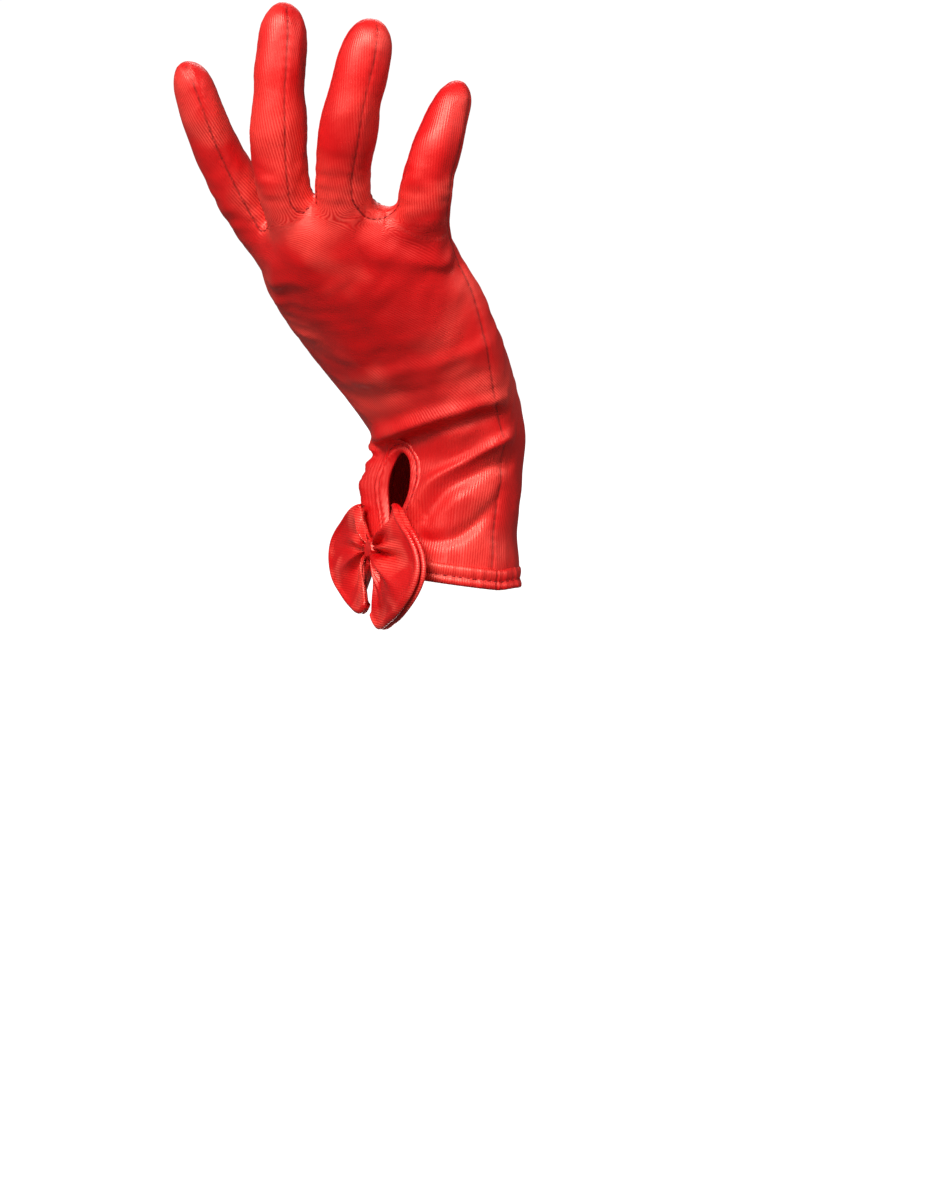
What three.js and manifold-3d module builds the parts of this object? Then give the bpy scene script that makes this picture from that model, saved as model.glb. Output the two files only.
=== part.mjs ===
// Wrist length dress glove for the right hand, in satin, with a keyhole opening and a bow at the wrist.
// Millimetres. The origin is the middle of the wrist opening, +Z runs up the cuff towards the fingers,
// -Y is the back of the hand and +X is the little finger's side.

import * as THREE from 'three';
import { mergeVertices } from 'three/addons/utils/BufferGeometryUtils.js';
import Module from 'manifold-3d';

const wasm = await Module();
wasm.setup();

// Cloth and seams
const CLOTH = 1.1;
const SEAM_GAP = 0.3;

// Cuff and the wrist's bend: the hand is bent back and leans to the thumb's side, in degrees
const CUFF_RISE = 29;
const BEND_LENGTH = 34;
const WRIST_BEND = 42.8;
const WRIST_LEAN = 6;

// Palm, from the end of the bend to the top of the middle fork
const PALM_LENGTH = 86.5;
const PALM_WIDTH = 78;
const PALM_THICKNESS = 29;

// Fingers: the middle one's length from its fork to the middle of its round tip, and its girth
const FINGER_LENGTH = 59;
const FINGER_WIDTH = 19;
const THUMB_LENGTH = 62;
const THUMB_WIDTH = 20.5;

// Hem
const HEM_HEIGHT = 6.2;
const HEM_THICKNESS = 2.4;
const HEM_STAND = 0.7;
const HEM_ROUND = 0.3;

// Keyhole: a teardrop opening above a closed slit, on the back of the wrist
const KEYHOLE_AROUND = -21;
const KEYHOLE_WIDTH = 11;
const KEYHOLE_TOP = 39;
const SLIT_TOP = 9;
const SLIT_WIDTH = 0.9;
const BINDING_WIDTH = 4.5;
const BINDING_THICKNESS = 2;
const BINDING_STAND = 0.6;

// Bow
const BOW_HEIGHT = 8;
const BOW_REACH = 27;
const BOW_HALF_HEIGHT = 20;
const BOW_SPREAD = 66;
const BOW_TILT = -4;
const BOW_WRAP = 4;
const BOW_DROP = 4;
const BOW_LAYER = 1;
const BOW_MOUTH = 3.4;
const BOW_RIPPLE = 1.4;
const BOW_PLEATS = 6;
const KNOT_WIDTH = 8;
const KNOT_HEIGHT = 8.5;
const KNOT_DEPTH = 7;
const KNOT_COVER = 1;
const TAB_WIDTH = 10;
const TAB_HEIGHT = 5;
const TAB_THICKNESS = 1.6;

// How finely the surfaces are cut
const BODY_SIDES = 30;
const CLOSENESS = 0.42;
const CLOSEST_AROUND = 15;
const FINGER_SIDES = 10;
const BEND_STEPS = 24;
const SMALLEST_EDGE = 0.06;
const THINNEST = 0.3;

const SATIN = { color: 0xd8121f, roughness: 0.38, metalness: 0 };

const BODY_LENGTH = CUFF_RISE + BEND_LENGTH + PALM_LENGTH;
const HAND_START = CUFF_RISE + BEND_LENGTH;

// Sections of the body, from the hem to the finger forks.
// at: share of the body's length. thumb and little: half widths to those sides, shares of the palm's width.
// back and palm: depths from the middle line, lift, tilt and arch: how the section rises to the palm, shares
// of the palm's thickness. crown and slope: how far its sides fall back, shares of the palm's length.
const BODY_SECTIONS = [
  { at: 0.00, thumb: 0.365, little: 0.365, back: 0.760, palm: 0.760, lift: 0.00, tilt: 0.00, arch: 0.00,
    crown: 0.000, slope: 0.000 },
  { at: 0.06, thumb: 0.355, little: 0.355, back: 0.735, palm: 0.735, lift: 0.00, tilt: 0.00, arch: 0.00,
    crown: 0.000, slope: 0.000 },
  { at: 0.14, thumb: 0.350, little: 0.337, back: 0.705, palm: 0.660, lift: 0.00, tilt: 0.00, arch: 0.00,
    crown: 0.000, slope: 0.000 },
  { at: 0.24, thumb: 0.362, little: 0.332, back: 0.665, palm: 0.615, lift: 0.00, tilt: 0.00, arch: 0.00,
    crown: 0.000, slope: 0.000 },
  { at: 0.33, thumb: 0.380, little: 0.358, back: 0.600, palm: 0.690, lift: 0.00, tilt: 0.02, arch: 0.02,
    crown: 0.000, slope: 0.000 },
  { at: 0.42, thumb: 0.410, little: 0.400, back: 0.550, palm: 0.715, lift: -0.02, tilt: 0.06, arch: 0.04,
    crown: 0.000, slope: 0.000 },
  { at: 0.54, thumb: 0.455, little: 0.437, back: 0.510, palm: 0.620, lift: -0.05, tilt: 0.13, arch: 0.09,
    crown: 0.020, slope: 0.010 },
  { at: 0.66, thumb: 0.480, little: 0.447, back: 0.490, palm: 0.520, lift: -0.09, tilt: 0.21, arch: 0.15,
    crown: 0.060, slope: 0.020 },
  { at: 0.78, thumb: 0.485, little: 0.433, back: 0.470, palm: 0.450, lift: -0.14, tilt: 0.29, arch: 0.23,
    crown: 0.130, slope: 0.040 },
  { at: 0.89, thumb: 0.465, little: 0.407, back: 0.430, palm: 0.385, lift: -0.18, tilt: 0.35, arch: 0.30,
    crown: 0.210, slope: 0.060 },
  { at: 0.960, thumb: 0.440, little: 0.388, back: 0.350, palm: 0.320, lift: -0.20, tilt: 0.36, arch: 0.34,
    crown: 0.240, slope: 0.066 },
  { at: 0.985, thumb: 0.425, little: 0.375, back: 0.240, palm: 0.220, lift: -0.21, tilt: 0.36, arch: 0.36,
    crown: 0.245, slope: 0.066 },
  { at: 1.000, thumb: 0.415, little: 0.370, back: 0.030, palm: 0.030, lift: -0.21, tilt: 0.36, arch: 0.36,
    crown: 0.245, slope: 0.066 },
];

// Fingers. x, y, z: where the fork level is, shares of the palm's width, thickness and length.
// splay, flex, curl: degrees to the little side and towards the palm, at the fork and at the middle joint.
// near, far: lengths, shares of the finger length. root, joint, tip: radii, shares of the finger width.
const FINGERS = [
  { name: 'index', x: -0.363, y: -0.276, z: 0.927, splay: -2.0, flex: 2.9, curl: 9.2,
    near: 0.546, far: 0.371, root: 0.445, joint: 0.405, tip: 0.355 },
  { name: 'middle', x: -0.123, y: -0.303, z: 1.027, splay: 9.0, flex: 22.8, curl: 13.3,
    near: 0.559, far: 0.420, root: 0.480, joint: 0.465, tip: 0.410 },
  { name: 'ring', x: 0.120, y: -0.072, z: 0.999, splay: 22.8, flex: 19.5, curl: 17.8,
    near: 0.508, far: 0.360, root: 0.490, joint: 0.475, tip: 0.420 },
  { name: 'little', x: 0.366, y: 0.272, z: 0.838, splay: 23.6, flex: 31.5, curl: 18.2,
    near: 0.356, far: 0.272, root: 0.465, joint: 0.410, tip: 0.350 },
];

// The thumb's middle line in the hand: x, y, z as the fingers have them, radius as a share of its width
const THUMB_LINE = [
  { x: -0.23, y: 0.14, z: 0.02, radius: 0.54 },
  { x: -0.41, y: 0.36, z: 0.27, radius: 0.50 },
  { x: -0.46, y: 0.80, z: 0.53, radius: 0.45 },
  { x: -0.40, y: 1.16, z: 0.68, radius: 0.40 },
];

// Folds of the cloth where the wrist bends, each from one place to another. Around: degrees from the back
// towards the little side. At and sag: place along the body and how far the fold's middle drops, shares of
// its length. rise and breadth: height and half width, shares of the palm's thickness.
const FOLDS = [
  { name: 'upper ridge', fromAround: -45, fromAt: 0.385, toAround: 78, toAt: 0.440, sag: -0.034,
    rise: 0.075, breadth: 0.11 },
  { name: 'upper valley', fromAround: -22, fromAt: 0.385, toAround: 78, toAt: 0.400, sag: -0.022,
    rise: -0.060, breadth: 0.12 },
  { name: 'middle swell', fromAround: 6, fromAt: 0.265, toAround: 80, toAt: 0.385, sag: -0.020,
    rise: 0.060, breadth: 0.15 },
  { name: 'lower ridge', fromAround: -5, fromAt: 0.158, toAround: 78, toAt: 0.318, sag: -0.016,
    rise: 0.065, breadth: 0.10 },
  { name: 'lower valley', fromAround: 6, fromAt: 0.160, toAround: 74, toAt: 0.280, sag: -0.012,
    rise: -0.050, breadth: 0.12 },
  { name: 'hem valley', fromAround: 10, fromAt: 0.085, toAround: 80, toAt: 0.125, sag: 0.010,
    rise: -0.040, breadth: 0.10 },
  { name: 'thumb upper bunch', fromAround: -82, fromAt: 0.350, toAround: -30, toAt: 0.378, sag: 0.000,
    rise: 0.090, breadth: 0.11 },
  { name: 'thumb middle bunch', fromAround: -85, fromAt: 0.265, toAround: -48, toAt: 0.290, sag: 0.000,
    rise: 0.060, breadth: 0.11 },
  { name: 'thumb lower bunch', fromAround: -88, fromAt: 0.180, toAround: -46, toAt: 0.215, sag: 0.000,
    rise: 0.090, breadth: 0.12 },
  { name: 'index tendon', fromAround: -25, fromAt: 0.960, toAround: -50, toAt: 0.780, sag: 0.000,
    rise: 0.030, breadth: 0.12 },
];

const radians = THREE.MathUtils.degToRad;
const span = (from, to, steps) => Array.from({ length: steps + 1 }, (_, i) => from + (to - from) * i / steps);
const ACROSS = new THREE.Vector3(1, 0, 0);
const DOWN = new THREE.Vector3(0, 1, 0);
const ALONG = new THREE.Vector3(0, 0, 1);

// A smooth curve through a table's rows, for each column but the one that it runs along
function readTable(rows, key, value) {
  const last = rows.length - 1;
  let i = 0;
  while (i < last - 1 && value > rows[i + 1][key]) i += 1;
  const [a, b, c, d] = [rows[Math.max(i - 1, 0)], rows[i], rows[i + 1], rows[Math.min(i + 2, last)]];
  const apart = c[key] - b[key];
  const t = THREE.MathUtils.clamp((value - b[key]) / apart, 0, 1);
  const read = {};
  for (const name of Object.keys(b)) {
    if (typeof b[name] !== 'number') continue;
    const before = b === a ? c[name] - b[name] : (c[name] - a[name]) * apart / (c[key] - a[key]);
    const after = c === d ? c[name] - b[name] : (d[name] - b[name]) * apart / (d[key] - b[key]);
    const square = t * t;
    const cube = square * t;
    read[name] = (2 * cube - 3 * square + 1) * b[name] + (cube - 2 * square + t) * before
      + (3 * square - 2 * cube) * c[name] + (cube - square) * after;
  }
  return read;
}

// The turn of a section after a share of the wrist's bend
function bendTurn(share) {
  const eased = share * share * (3 - 2 * share);
  const lean = new THREE.Quaternion().setFromAxisAngle(DOWN, -radians(WRIST_LEAN) * eased);
  const back = new THREE.Quaternion().setFromAxisAngle(ACROSS, radians(WRIST_BEND) * eased);
  return lean.multiply(back);
}

// The middle line's place and turn at a distance along it from the hem
function spine(along) {
  const place = new THREE.Vector3(0, 0, Math.min(along, CUFF_RISE));
  const bent = THREE.MathUtils.clamp(along - CUFF_RISE, 0, BEND_LENGTH);
  const step = bent / BEND_STEPS;
  for (let i = 0; i < BEND_STEPS; i += 1) {
    const turn = bendTurn((i + 0.5) * step / BEND_LENGTH);
    place.addScaledVector(ALONG.clone().applyQuaternion(turn), step);
  }
  const turn = bendTurn(bent / BEND_LENGTH);
  const beyond = Math.max(along - HAND_START, 0);
  place.addScaledVector(ALONG.clone().applyQuaternion(turn), beyond);
  return { place, turn };
}

// Height of the folds at one place of the body's cloth
function foldRise(along, around, girth) {
  let rise = 0;
  const degree = girth / 360;
  for (const fold of FOLDS) {
    const [x0, y0] = [fold.fromAround * degree, fold.fromAt * BODY_LENGTH];
    const [x1, y1] = [fold.toAround * degree, fold.toAt * BODY_LENGTH];
    const centre = (fold.fromAround + fold.toAround) / 2;
    const x = (THREE.MathUtils.euclideanModulo(around - centre + 180, 360) - 180 + centre) * degree;
    const reach = (x1 - x0) ** 2 + (y1 - y0) ** 2;
    const share = ((x - x0) * (x1 - x0) + (along - y0) * (y1 - y0)) / reach;
    const t = THREE.MathUtils.clamp(share, 0, 1);
    const middle = y0 + (y1 - y0) * t - fold.sag * BODY_LENGTH * 4 * t * (1 - t);
    const off = Math.hypot(x - (x0 + (x1 - x0) * t), along - middle);
    const fade = Math.sqrt(Math.max(0, 1 - (2 * t - 1) ** 4));
    rise += fold.rise * PALM_THICKNESS * fade * Math.exp(-((off / (fold.breadth * PALM_THICKNESS)) ** 2));
  }
  return rise;
}

// Everything that one station of the body needs
function bodyStation(along) {
  const section = readTable(BODY_SECTIONS, 'at', along / BODY_LENGTH);
  const girth = Math.PI * ((section.thumb + section.little) / 2 * PALM_WIDTH
    + (section.back + section.palm) / 2 * PALM_THICKNESS);
  return { along, section, girth, ...spine(along) };
}

// One point of the body's surface, grown or shrunk by an offset
function bodyPoint({ along, section, girth, place, turn }, around, offset) {
  const [across, down] = [Math.sin(radians(around)), -Math.cos(radians(around))];
  const wide = (across < 0 ? section.thumb : section.little) * PALM_WIDTH;
  const depth = (down < 0 ? section.back : section.palm) * PALM_THICKNESS;
  const grow = offset + foldRise(along, around, girth);
  const point = new THREE.Vector3(across * (wide + grow), down * Math.max(depth + grow, THINNEST), 0);
  const side = point.x / (PALM_WIDTH / 2);
  point.y += (section.lift + section.tilt * side + section.arch * side * side) * PALM_THICKNESS;
  point.z -= (section.crown * side * side + section.slope * side) * PALM_LENGTH;
  return point.applyQuaternion(turn).add(place);
}

// One ring of the body's surface, with its points closest together where the folds are
function bodyRing(along, offset) {
  const station = bodyStation(along);
  return span(0, 1, BODY_SIDES).slice(0, BODY_SIDES).map((share) => {
    const pull = CLOSENESS / (2 * Math.PI) * Math.sin(2 * Math.PI * share - radians(CLOSEST_AROUND));
    return bodyPoint(station, 360 * (share - pull), offset);
  });
}

// A closed solid through rings of equally many points. Each end is closed by a zigzag from one corner
// across to the opposite one, which follows a curved end.
function loft(rings, corner = Math.round(rings[0].length / 4)) {
  const sides = rings[0].length;
  const points = rings.flat();
  const faces = [];
  for (let i = 0; i + 1 < rings.length; i += 1) {
    for (let j = 0; j < sides; j += 1) {
      const next = (j + 1) % sides;
      const [a, b] = [i * sides + j, i * sides + next];
      const [c, d] = [(i + 1) * sides + next, (i + 1) * sides + j];
      faces.push([a, b, c], [a, c, d]);
    }
  }
  const zigzag = Array.from({ length: sides }, (_, k) => corner + Math.ceil(k / 2) * (k % 2 ? 1 : -1))
    .map((k) => (k + sides) % sides);
  for (const [first, forward] of [[0, false], [(rings.length - 1) * sides, true]]) {
    for (let k = 0; k + 2 < sides; k += 1) {
      const [a, b, c] = zigzag.slice(k, k + 3).map((j) => first + j);
      faces.push((k % 2 === 0) === forward ? [a, b, c] : [b, a, c]);
    }
  }
  return solidFrom(points, faces);
}

// A solid from points and triangles, turned so that its faces point out
function solidFrom(points, faces) {
  let volume = 0;
  for (const [a, b, c] of faces) {
    volume += points[a].dot(points[b].clone().cross(points[c]));
  }
  const order = volume < 0 ? [0, 2, 1] : [0, 1, 2];
  const vertProperties = new Float32Array(points.flatMap((p) => [p.x, p.y, p.z]));
  const triVerts = new Uint32Array(faces.flatMap((face) => order.map((k) => face[k])));
  return new wasm.Manifold(new wasm.Mesh({ numProp: 3, vertProperties, triVerts }));
}

// A three.js geometry as a solid
function solidOf(geometry) {
  const bare = new THREE.BufferGeometry();
  bare.setAttribute('position', geometry.getAttribute('position').clone());
  if (geometry.index) bare.setIndex(geometry.index.clone());
  const merged = mergeVertices(bare, 1e-4);
  const vertProperties = new Float32Array(merged.getAttribute('position').array);
  const triVerts = new Uint32Array(merged.index.array);
  return new wasm.Manifold(new wasm.Mesh({ numProp: 3, vertProperties, triVerts }));
}

const joined = (solids) => solids.reduce((whole, solid) => whole.add(solid));

// The biggest connected body of a cut solid
function biggest(solid) {
  const bodies = solid.decompose();
  return bodies.reduce((a, b) => (a.volume() >= b.volume() ? a : b));
}

// A place in the hand, given as shares of the palm's width, thickness and length
const HAND = spine(HAND_START);
function handPlace({ x, y, z }) {
  const place = new THREE.Vector3(x * PALM_WIDTH, y * PALM_THICKNESS, z * PALM_LENGTH);
  return place.applyQuaternion(HAND.turn).add(HAND.place);
}

// A finger's frames: from inside the palm, over its fork and middle joint, to the middle of its tip
const ROOT_DEPTH = 0.3;
const ROOT_GATHER = 0.82;
const ROOT_TAPER = 0.72;
const STEPS_BELOW = 2;
const STEPS_ABOVE = 4;
function fingerFrames(finger) {
  const turned = (flex) => HAND.turn.clone()
    .multiply(new THREE.Quaternion().setFromAxisAngle(DOWN, radians(finger.splay)))
    .multiply(new THREE.Quaternion().setFromAxisAngle(ACROSS, -radians(flex)));
  const fork = handPlace(finger);
  const ahead = (flex) => ALONG.clone().applyQuaternion(turned(flex));
  const joint = fork.clone().addScaledVector(ahead(finger.flex), finger.near * FINGER_LENGTH);
  const tip = joint.clone().addScaledVector(ahead(finger.flex + finger.curl), finger.far * FINGER_LENGTH);
  const root = handPlace({ ...finger, x: finger.x * ROOT_GATHER, z: finger.z - ROOT_DEPTH });
  const line = new THREE.CatmullRomCurve3([root, fork, joint, tip], false, 'centripetal');
  const lateral = ACROSS.clone().applyQuaternion(turned(0));
  const shares = [ROOT_TAPER * finger.root, finger.root, finger.joint, finger.tip];
  const radii = shares.map((share) => share * FINGER_WIDTH);
  const stops = [...span(0, 1 / 3, STEPS_BELOW), ...span(1 / 3, 1, STEPS_ABOVE).slice(1)];
  return lineFrames(line, lateral, radii, stops);
}

// Frames along a line through four points, with a radius between them
function lineFrames(line, lateral, radii, stops) {
  return stops.map((stop) => {
    const [whole, part] = [Math.min(Math.floor(stop * 3 + 1e-9), 2), stop * 3];
    const radius = THREE.MathUtils.lerp(radii[whole], radii[whole + 1], part - whole);
    const ahead = line.getTangent(stop);
    const side = lateral.clone().addScaledVector(ahead, -lateral.dot(ahead)).normalize();
    const down = ahead.clone().cross(side);
    return { place: line.getPoint(stop), ahead, side, down, radius, above: part - 1 };
  });
}

// A ring of a finger's skin round one of its frames
function fingerRing(frame, radius, ahead = 0) {
  return span(0, 360, FINGER_SIDES).slice(0, FINGER_SIDES).map((around) => frame.place.clone()
    .addScaledVector(frame.side, radius * Math.sin(radians(around)))
    .addScaledVector(frame.down, -radius * Math.cos(radians(around)))
    .addScaledVector(frame.ahead, ahead));
}

// A finger as a closed tube with a round tip
const DOME = [38, 70];
const DOME_LENGTH = 1.1;
function fingerSolid(frames, offset) {
  const rings = frames.map((frame, i) => fingerRing(frame, frame.radius + offset, i === 0 ? -offset : 0));
  const end = frames[frames.length - 1];
  for (const angle of DOME) {
    const round = end.radius + offset;
    const reach = round * DOME_LENGTH;
    rings.push(fingerRing(end, round * Math.cos(radians(angle)), reach * Math.sin(radians(angle))));
  }
  return loft(rings);
}

// A wedge of a finger's skin, for the strip that is sewn in on one side
const STRIP_ANGLE = 40;
const STRIP_END = 0.45;
const STRIP_REACH = 0.8;
const STRIP_START = -0.12;
const STRIP_HEEL = 0.2;
function stripWedge(frames, middle, clearance) {
  const end = frames[frames.length - 1];
  const above = frames.filter((frame) => frame.above > STRIP_START);
  const stations = above.map((frame) => ({ ...frame, extra: 0 }));
  stations.push({ ...end, extra: end.radius * STRIP_END + clearance });
  stations[0].extra = -clearance - end.radius * STRIP_HEEL;
  return loft(stations.map((frame) => {
    const setBack = clearance / Math.sin(radians(STRIP_ANGLE));
    const reach = frame.radius + STRIP_REACH + setBack;
    const corner = frame.place.clone().addScaledVector(frame.ahead, frame.extra)
      .addScaledVector(frame.side, -setBack * Math.sin(radians(middle)));
    const arc = span(middle - STRIP_ANGLE, middle + STRIP_ANGLE, 4).map((around) => corner.clone()
      .addScaledVector(frame.side, reach * Math.sin(radians(around)))
      .addScaledVector(frame.down, -reach * Math.cos(radians(around))));
    return [corner, ...arc];
  }));
}

// The fork between two fingers' strips, a block from the middle of one finger to the middle of the next
const FORK_DROP = 4;
const FORK_RISE = 5;
const FORK_DEPTH = 0.88;
function forkBlock(near, far, clearance) {
  return loft([near, far].map((frames) => {
    const frame = frames[STEPS_BELOW];
    const half = frame.radius * Math.sin(radians(STRIP_ANGLE)) * FORK_DEPTH + clearance;
    return [[-1, -1], [1, -1], [1, 1], [-1, 1]].map(([down, ahead]) => frame.place.clone()
      .addScaledVector(frame.down, down * half)
      .addScaledVector(frame.ahead, ahead > 0 ? FORK_RISE + clearance : -FORK_DROP - clearance));
  }));
}

// The palm's side of one finger, down from its middle plane
const PALM_SIDE_REACH = 1.6;
function fingerPalmSide(frames, clearance) {
  const end = frames[frames.length - 1];
  const stations = frames.slice(STEPS_BELOW - 1).map((frame) => ({ ...frame, extra: 0 }));
  stations.push({ ...end, extra: end.radius * 2 });
  return loft(stations.map((frame) => {
    const reach = frame.radius + PALM_SIDE_REACH;
    const corner = frame.place.clone().addScaledVector(frame.ahead, frame.extra);
    return [[-reach, clearance], [reach, clearance], [reach, reach], [-reach, reach]].map(([side, down]) =>
      corner.clone().addScaledVector(frame.side, side).addScaledVector(frame.down, down));
  }));
}

// The palm's side of the body, down from the seams on both of its edges.
// The seam on the little finger's side lies nearer the back at the cuff than at the knuckles.
const SEAM_AT_CUFF = 0.20;
const SEAM_REACH = 6;
const SEAM_STEPS = 4;
const SEAM_SHIFT = [0.3, 0.75];
const PALM_SIDE_DEPTH = 1.8;
function bodyPalmSide(clearance) {
  const stations = span(-0.02, 1.06, 13);
  return loft(stations.map((share) => {
    const section = readTable(BODY_SECTIONS, 'at', share);
    const { place, turn } = spine(share * BODY_LENGTH);
    const wide = Math.max(section.thumb, section.little) * PALM_WIDTH + SEAM_REACH;
    const early = 1 - THREE.MathUtils.smoothstep(share, ...SEAM_SHIFT);
    const edge = span(-1, 1, SEAM_STEPS).map((across) => {
      const side = across * wide / (PALM_WIDTH / 2);
      const rise = section.lift + section.tilt * side + section.arch * side * side
        - SEAM_AT_CUFF * early * Math.max(side, 0);
      const fall = section.crown * side * side + section.slope * side;
      return new THREE.Vector3(across * wide, rise * PALM_THICKNESS + clearance, -fall * PALM_LENGTH);
    });
    const floor = edge.map((point) => point.clone().setY(PALM_SIDE_DEPTH * PALM_THICKNESS)).reverse();
    return [...edge, ...floor].map((point) => point.applyQuaternion(turn).add(place));
  }), SEAM_STEPS);
}

// The glove's skins: everything inside the cloth, grown by an offset
const BODY_STOPS = [...span(0.02, 0.14, 2), ...span(0.14, 0.46, 13).slice(1),
  ...span(0.46, 0.96, 5).slice(1), 0.985, 1];
const FINGER_FRAMES = FINGERS.map(fingerFrames);
function gloveSkin(offset, start) {
  const end = BODY_LENGTH + offset;
  const stops = [start, ...BODY_STOPS.map((share) => share * end).filter((along) => along > start + 1)];
  const body = loft(stops.map((along) => bodyRing(along, offset)));
  return joined([body, ...FINGER_FRAMES.map((frames) => fingerSolid(frames, offset))]);
}

// The thumb's line, from inside the palm to the middle of its tip
function thumbFrames() {
  const points = THUMB_LINE.map(handPlace);
  const scale = THUMB_LENGTH / points.slice(1).reduce((sum, p, i) => sum + p.distanceTo(points[i]), 0);
  const placed = points.map((p) => points[0].clone().addScaledVector(p.clone().sub(points[0]), scale));
  const line = new THREE.CatmullRomCurve3(placed, false, 'centripetal');
  const radii = THUMB_LINE.map((row) => row.radius * THUMB_WIDTH);
  return lineFrames(line, ACROSS.clone().applyQuaternion(HAND.turn), radii, span(0, 1, 6));
}

// The outline of the keyhole and its slit, grown by a margin
const KEYHOLE_WIDEST = 0.62;
const KEYHOLE_ROUNDNESS = 0.56;
function keyholeOutline(margin, bottom) {
  const slit = SLIT_WIDTH / 2 + margin;
  const half = KEYHOLE_WIDTH / 2 + margin;
  const top = KEYHOLE_TOP + margin;
  const widest = SLIT_TOP + (KEYHOLE_TOP - SLIT_TOP) * KEYHOLE_WIDEST;
  const outline = new THREE.Shape();
  outline.moveTo(slit, bottom);
  outline.lineTo(slit, SLIT_TOP);
  outline.bezierCurveTo(slit, (SLIT_TOP + widest) / 2, half, (SLIT_TOP + widest) / 2, half, widest);
  const shoulder = widest + (top - widest) * KEYHOLE_ROUNDNESS;
  const crown = half * KEYHOLE_ROUNDNESS;
  outline.bezierCurveTo(half, shoulder, crown, top, 0, top);
  outline.bezierCurveTo(-crown, top, -half, shoulder, -half, widest);
  outline.bezierCurveTo(-half, (SLIT_TOP + widest) / 2, -slit, (SLIT_TOP + widest) / 2, -slit, SLIT_TOP);
  outline.lineTo(-slit, bottom);
  return outline;
}

// The frame across, up and out on the back of the wrist, at a distance from its axis
function keyholeFrame(out, up) {
  const around = radians(KEYHOLE_AROUND);
  const outward = new THREE.Vector3(Math.sin(around), -Math.cos(around), 0);
  const across = new THREE.Vector3(Math.cos(around), Math.sin(around), 0);
  const frame = new THREE.Matrix4().makeBasis(across, ALONG, outward);
  frame.setPosition(outward.clone().multiplyScalar(out).setZ(up));
  return frame;
}

const KEYHOLE_DEPTH = 60;
const CURVE_STEPS = 4;
function keyholePrism(margin, bottom) {
  const outline = keyholeOutline(margin, bottom);
  const prism = new THREE.ExtrudeGeometry(outline,
    { depth: KEYHOLE_DEPTH, bevelEnabled: false, curveSegments: CURVE_STEPS });
  return solidOf(prism.applyMatrix4(keyholeFrame(0, 0)));
}

// Distance of the cuff's skin from its axis under the keyhole, at a height
function cuffOut(height) {
  const point = bodyPoint(bodyStation(height), KEYHOLE_AROUND, 0);
  return Math.hypot(point.x, point.y);
}

// The double turned hem, open at the slit
function cuffHem() {
  const heights = span(0, HEM_HEIGHT, 4);
  const skin = (offset) => heights.map((height) => {
    const round = Math.sin(Math.PI * height / HEM_HEIGHT);
    return bodyRing(height, offset + (offset > 0 ? HEM_ROUND * round : 0));
  });
  const outside = loft(skin(HEM_STAND));
  const inner = span(-1, HEM_HEIGHT + 1, 5).map((height) => bodyRing(height, HEM_STAND - HEM_THICKNESS));
  return outside.subtract(loft(inner)).subtract(keyholePrism(0, -SEAM_GAP - 1));
}

// The binding round the keyhole and its slit
function keyholeBinding() {
  const stops = span(HEM_HEIGHT + SEAM_GAP, HAND_START, 12);
  const outside = loft(stops.map((along) => bodyRing(along, BINDING_STAND)));
  const inside = loft([HEM_HEIGHT, ...stops.slice(1), HAND_START + BINDING_WIDTH]
    .map((along) => bodyRing(along, BINDING_STAND - BINDING_THICKNESS)));
  const band = outside.subtract(inside).intersect(keyholePrism(BINDING_WIDTH, HEM_HEIGHT));
  return biggest(band.subtract(keyholePrism(0, -1)));
}

// One wing of the bow: a folded layer of cloth, gathered at the knot and open at its outer edge
const WING_ANGLES = 12;
const WING_RINGS = [0, 0.3, 0.65, 1];
function bowWing(side, out) {
  const gathered = KNOT_WIDTH / 2 - KNOT_COVER;
  const place = (angle, reach, depth) => {
    const turn = radians(angle);
    const share = (reach / BOW_REACH) ** 2;
    const pleat = BOW_RIPPLE * Math.cos(radians(angle * BOW_PLEATS)) - BOW_WRAP;
    return new THREE.Vector3(side * (gathered + reach * Math.cos(turn)),
      (gathered + reach) * Math.sin(turn) - BOW_DROP * share, depth + pleat * share);
  };
  const rings = span(-BOW_SPREAD, BOW_SPREAD, WING_ANGLES).map((angle) => {
    const [wide, high] = [Math.cos(radians(angle)) / BOW_REACH, Math.sin(radians(angle)) / BOW_HALF_HEIGHT];
    const reach = 1 / Math.hypot(wide, high);
    const length = reach - gathered;
    const gap = (share) => BOW_MOUTH / 2 * Math.sin(Math.PI / 2 * share);
    const front = WING_RINGS.map((share) => place(angle, length * share, gap(share) + BOW_LAYER));
    const crotch = WING_RINGS.slice(1).reverse().map((share) => place(angle, length * share, gap(share)));
    const inside = WING_RINGS.slice(1).map((share) => place(angle, length * share, -gap(share)));
    const rear = WING_RINGS.slice().reverse()
      .map((share) => place(angle, length * share, -gap(share) - BOW_LAYER));
    return [...front, ...crotch, place(angle, length * WING_RINGS[1] / 2, 0), ...inside, ...rear];
  });
  const seat = keyholeFrame(out, BOW_HEIGHT).multiply(new THREE.Matrix4().makeRotationZ(radians(BOW_TILT)));
  return loft(rings.map((ring) => ring.map((point) => point.applyMatrix4(seat))));
}

// The gathered knot, a short round bar
function bowKnot(out) {
  const bar = new THREE.SphereGeometry(1, 10, 7);
  bar.scale(KNOT_WIDTH / 2, KNOT_HEIGHT / 2, KNOT_DEPTH / 2);
  return solidOf(bar.applyMatrix4(keyholeFrame(out, BOW_HEIGHT)));
}

// The hidden tab that closes the slit and carries the bow
function closureTab(out) {
  const plate = new THREE.BoxGeometry(TAB_WIDTH, TAB_HEIGHT, TAB_THICKNESS);
  return solidOf(plate.applyMatrix4(keyholeFrame(out, HEM_HEIGHT + SEAM_GAP + TAB_HEIGHT / 2)));
}

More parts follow.
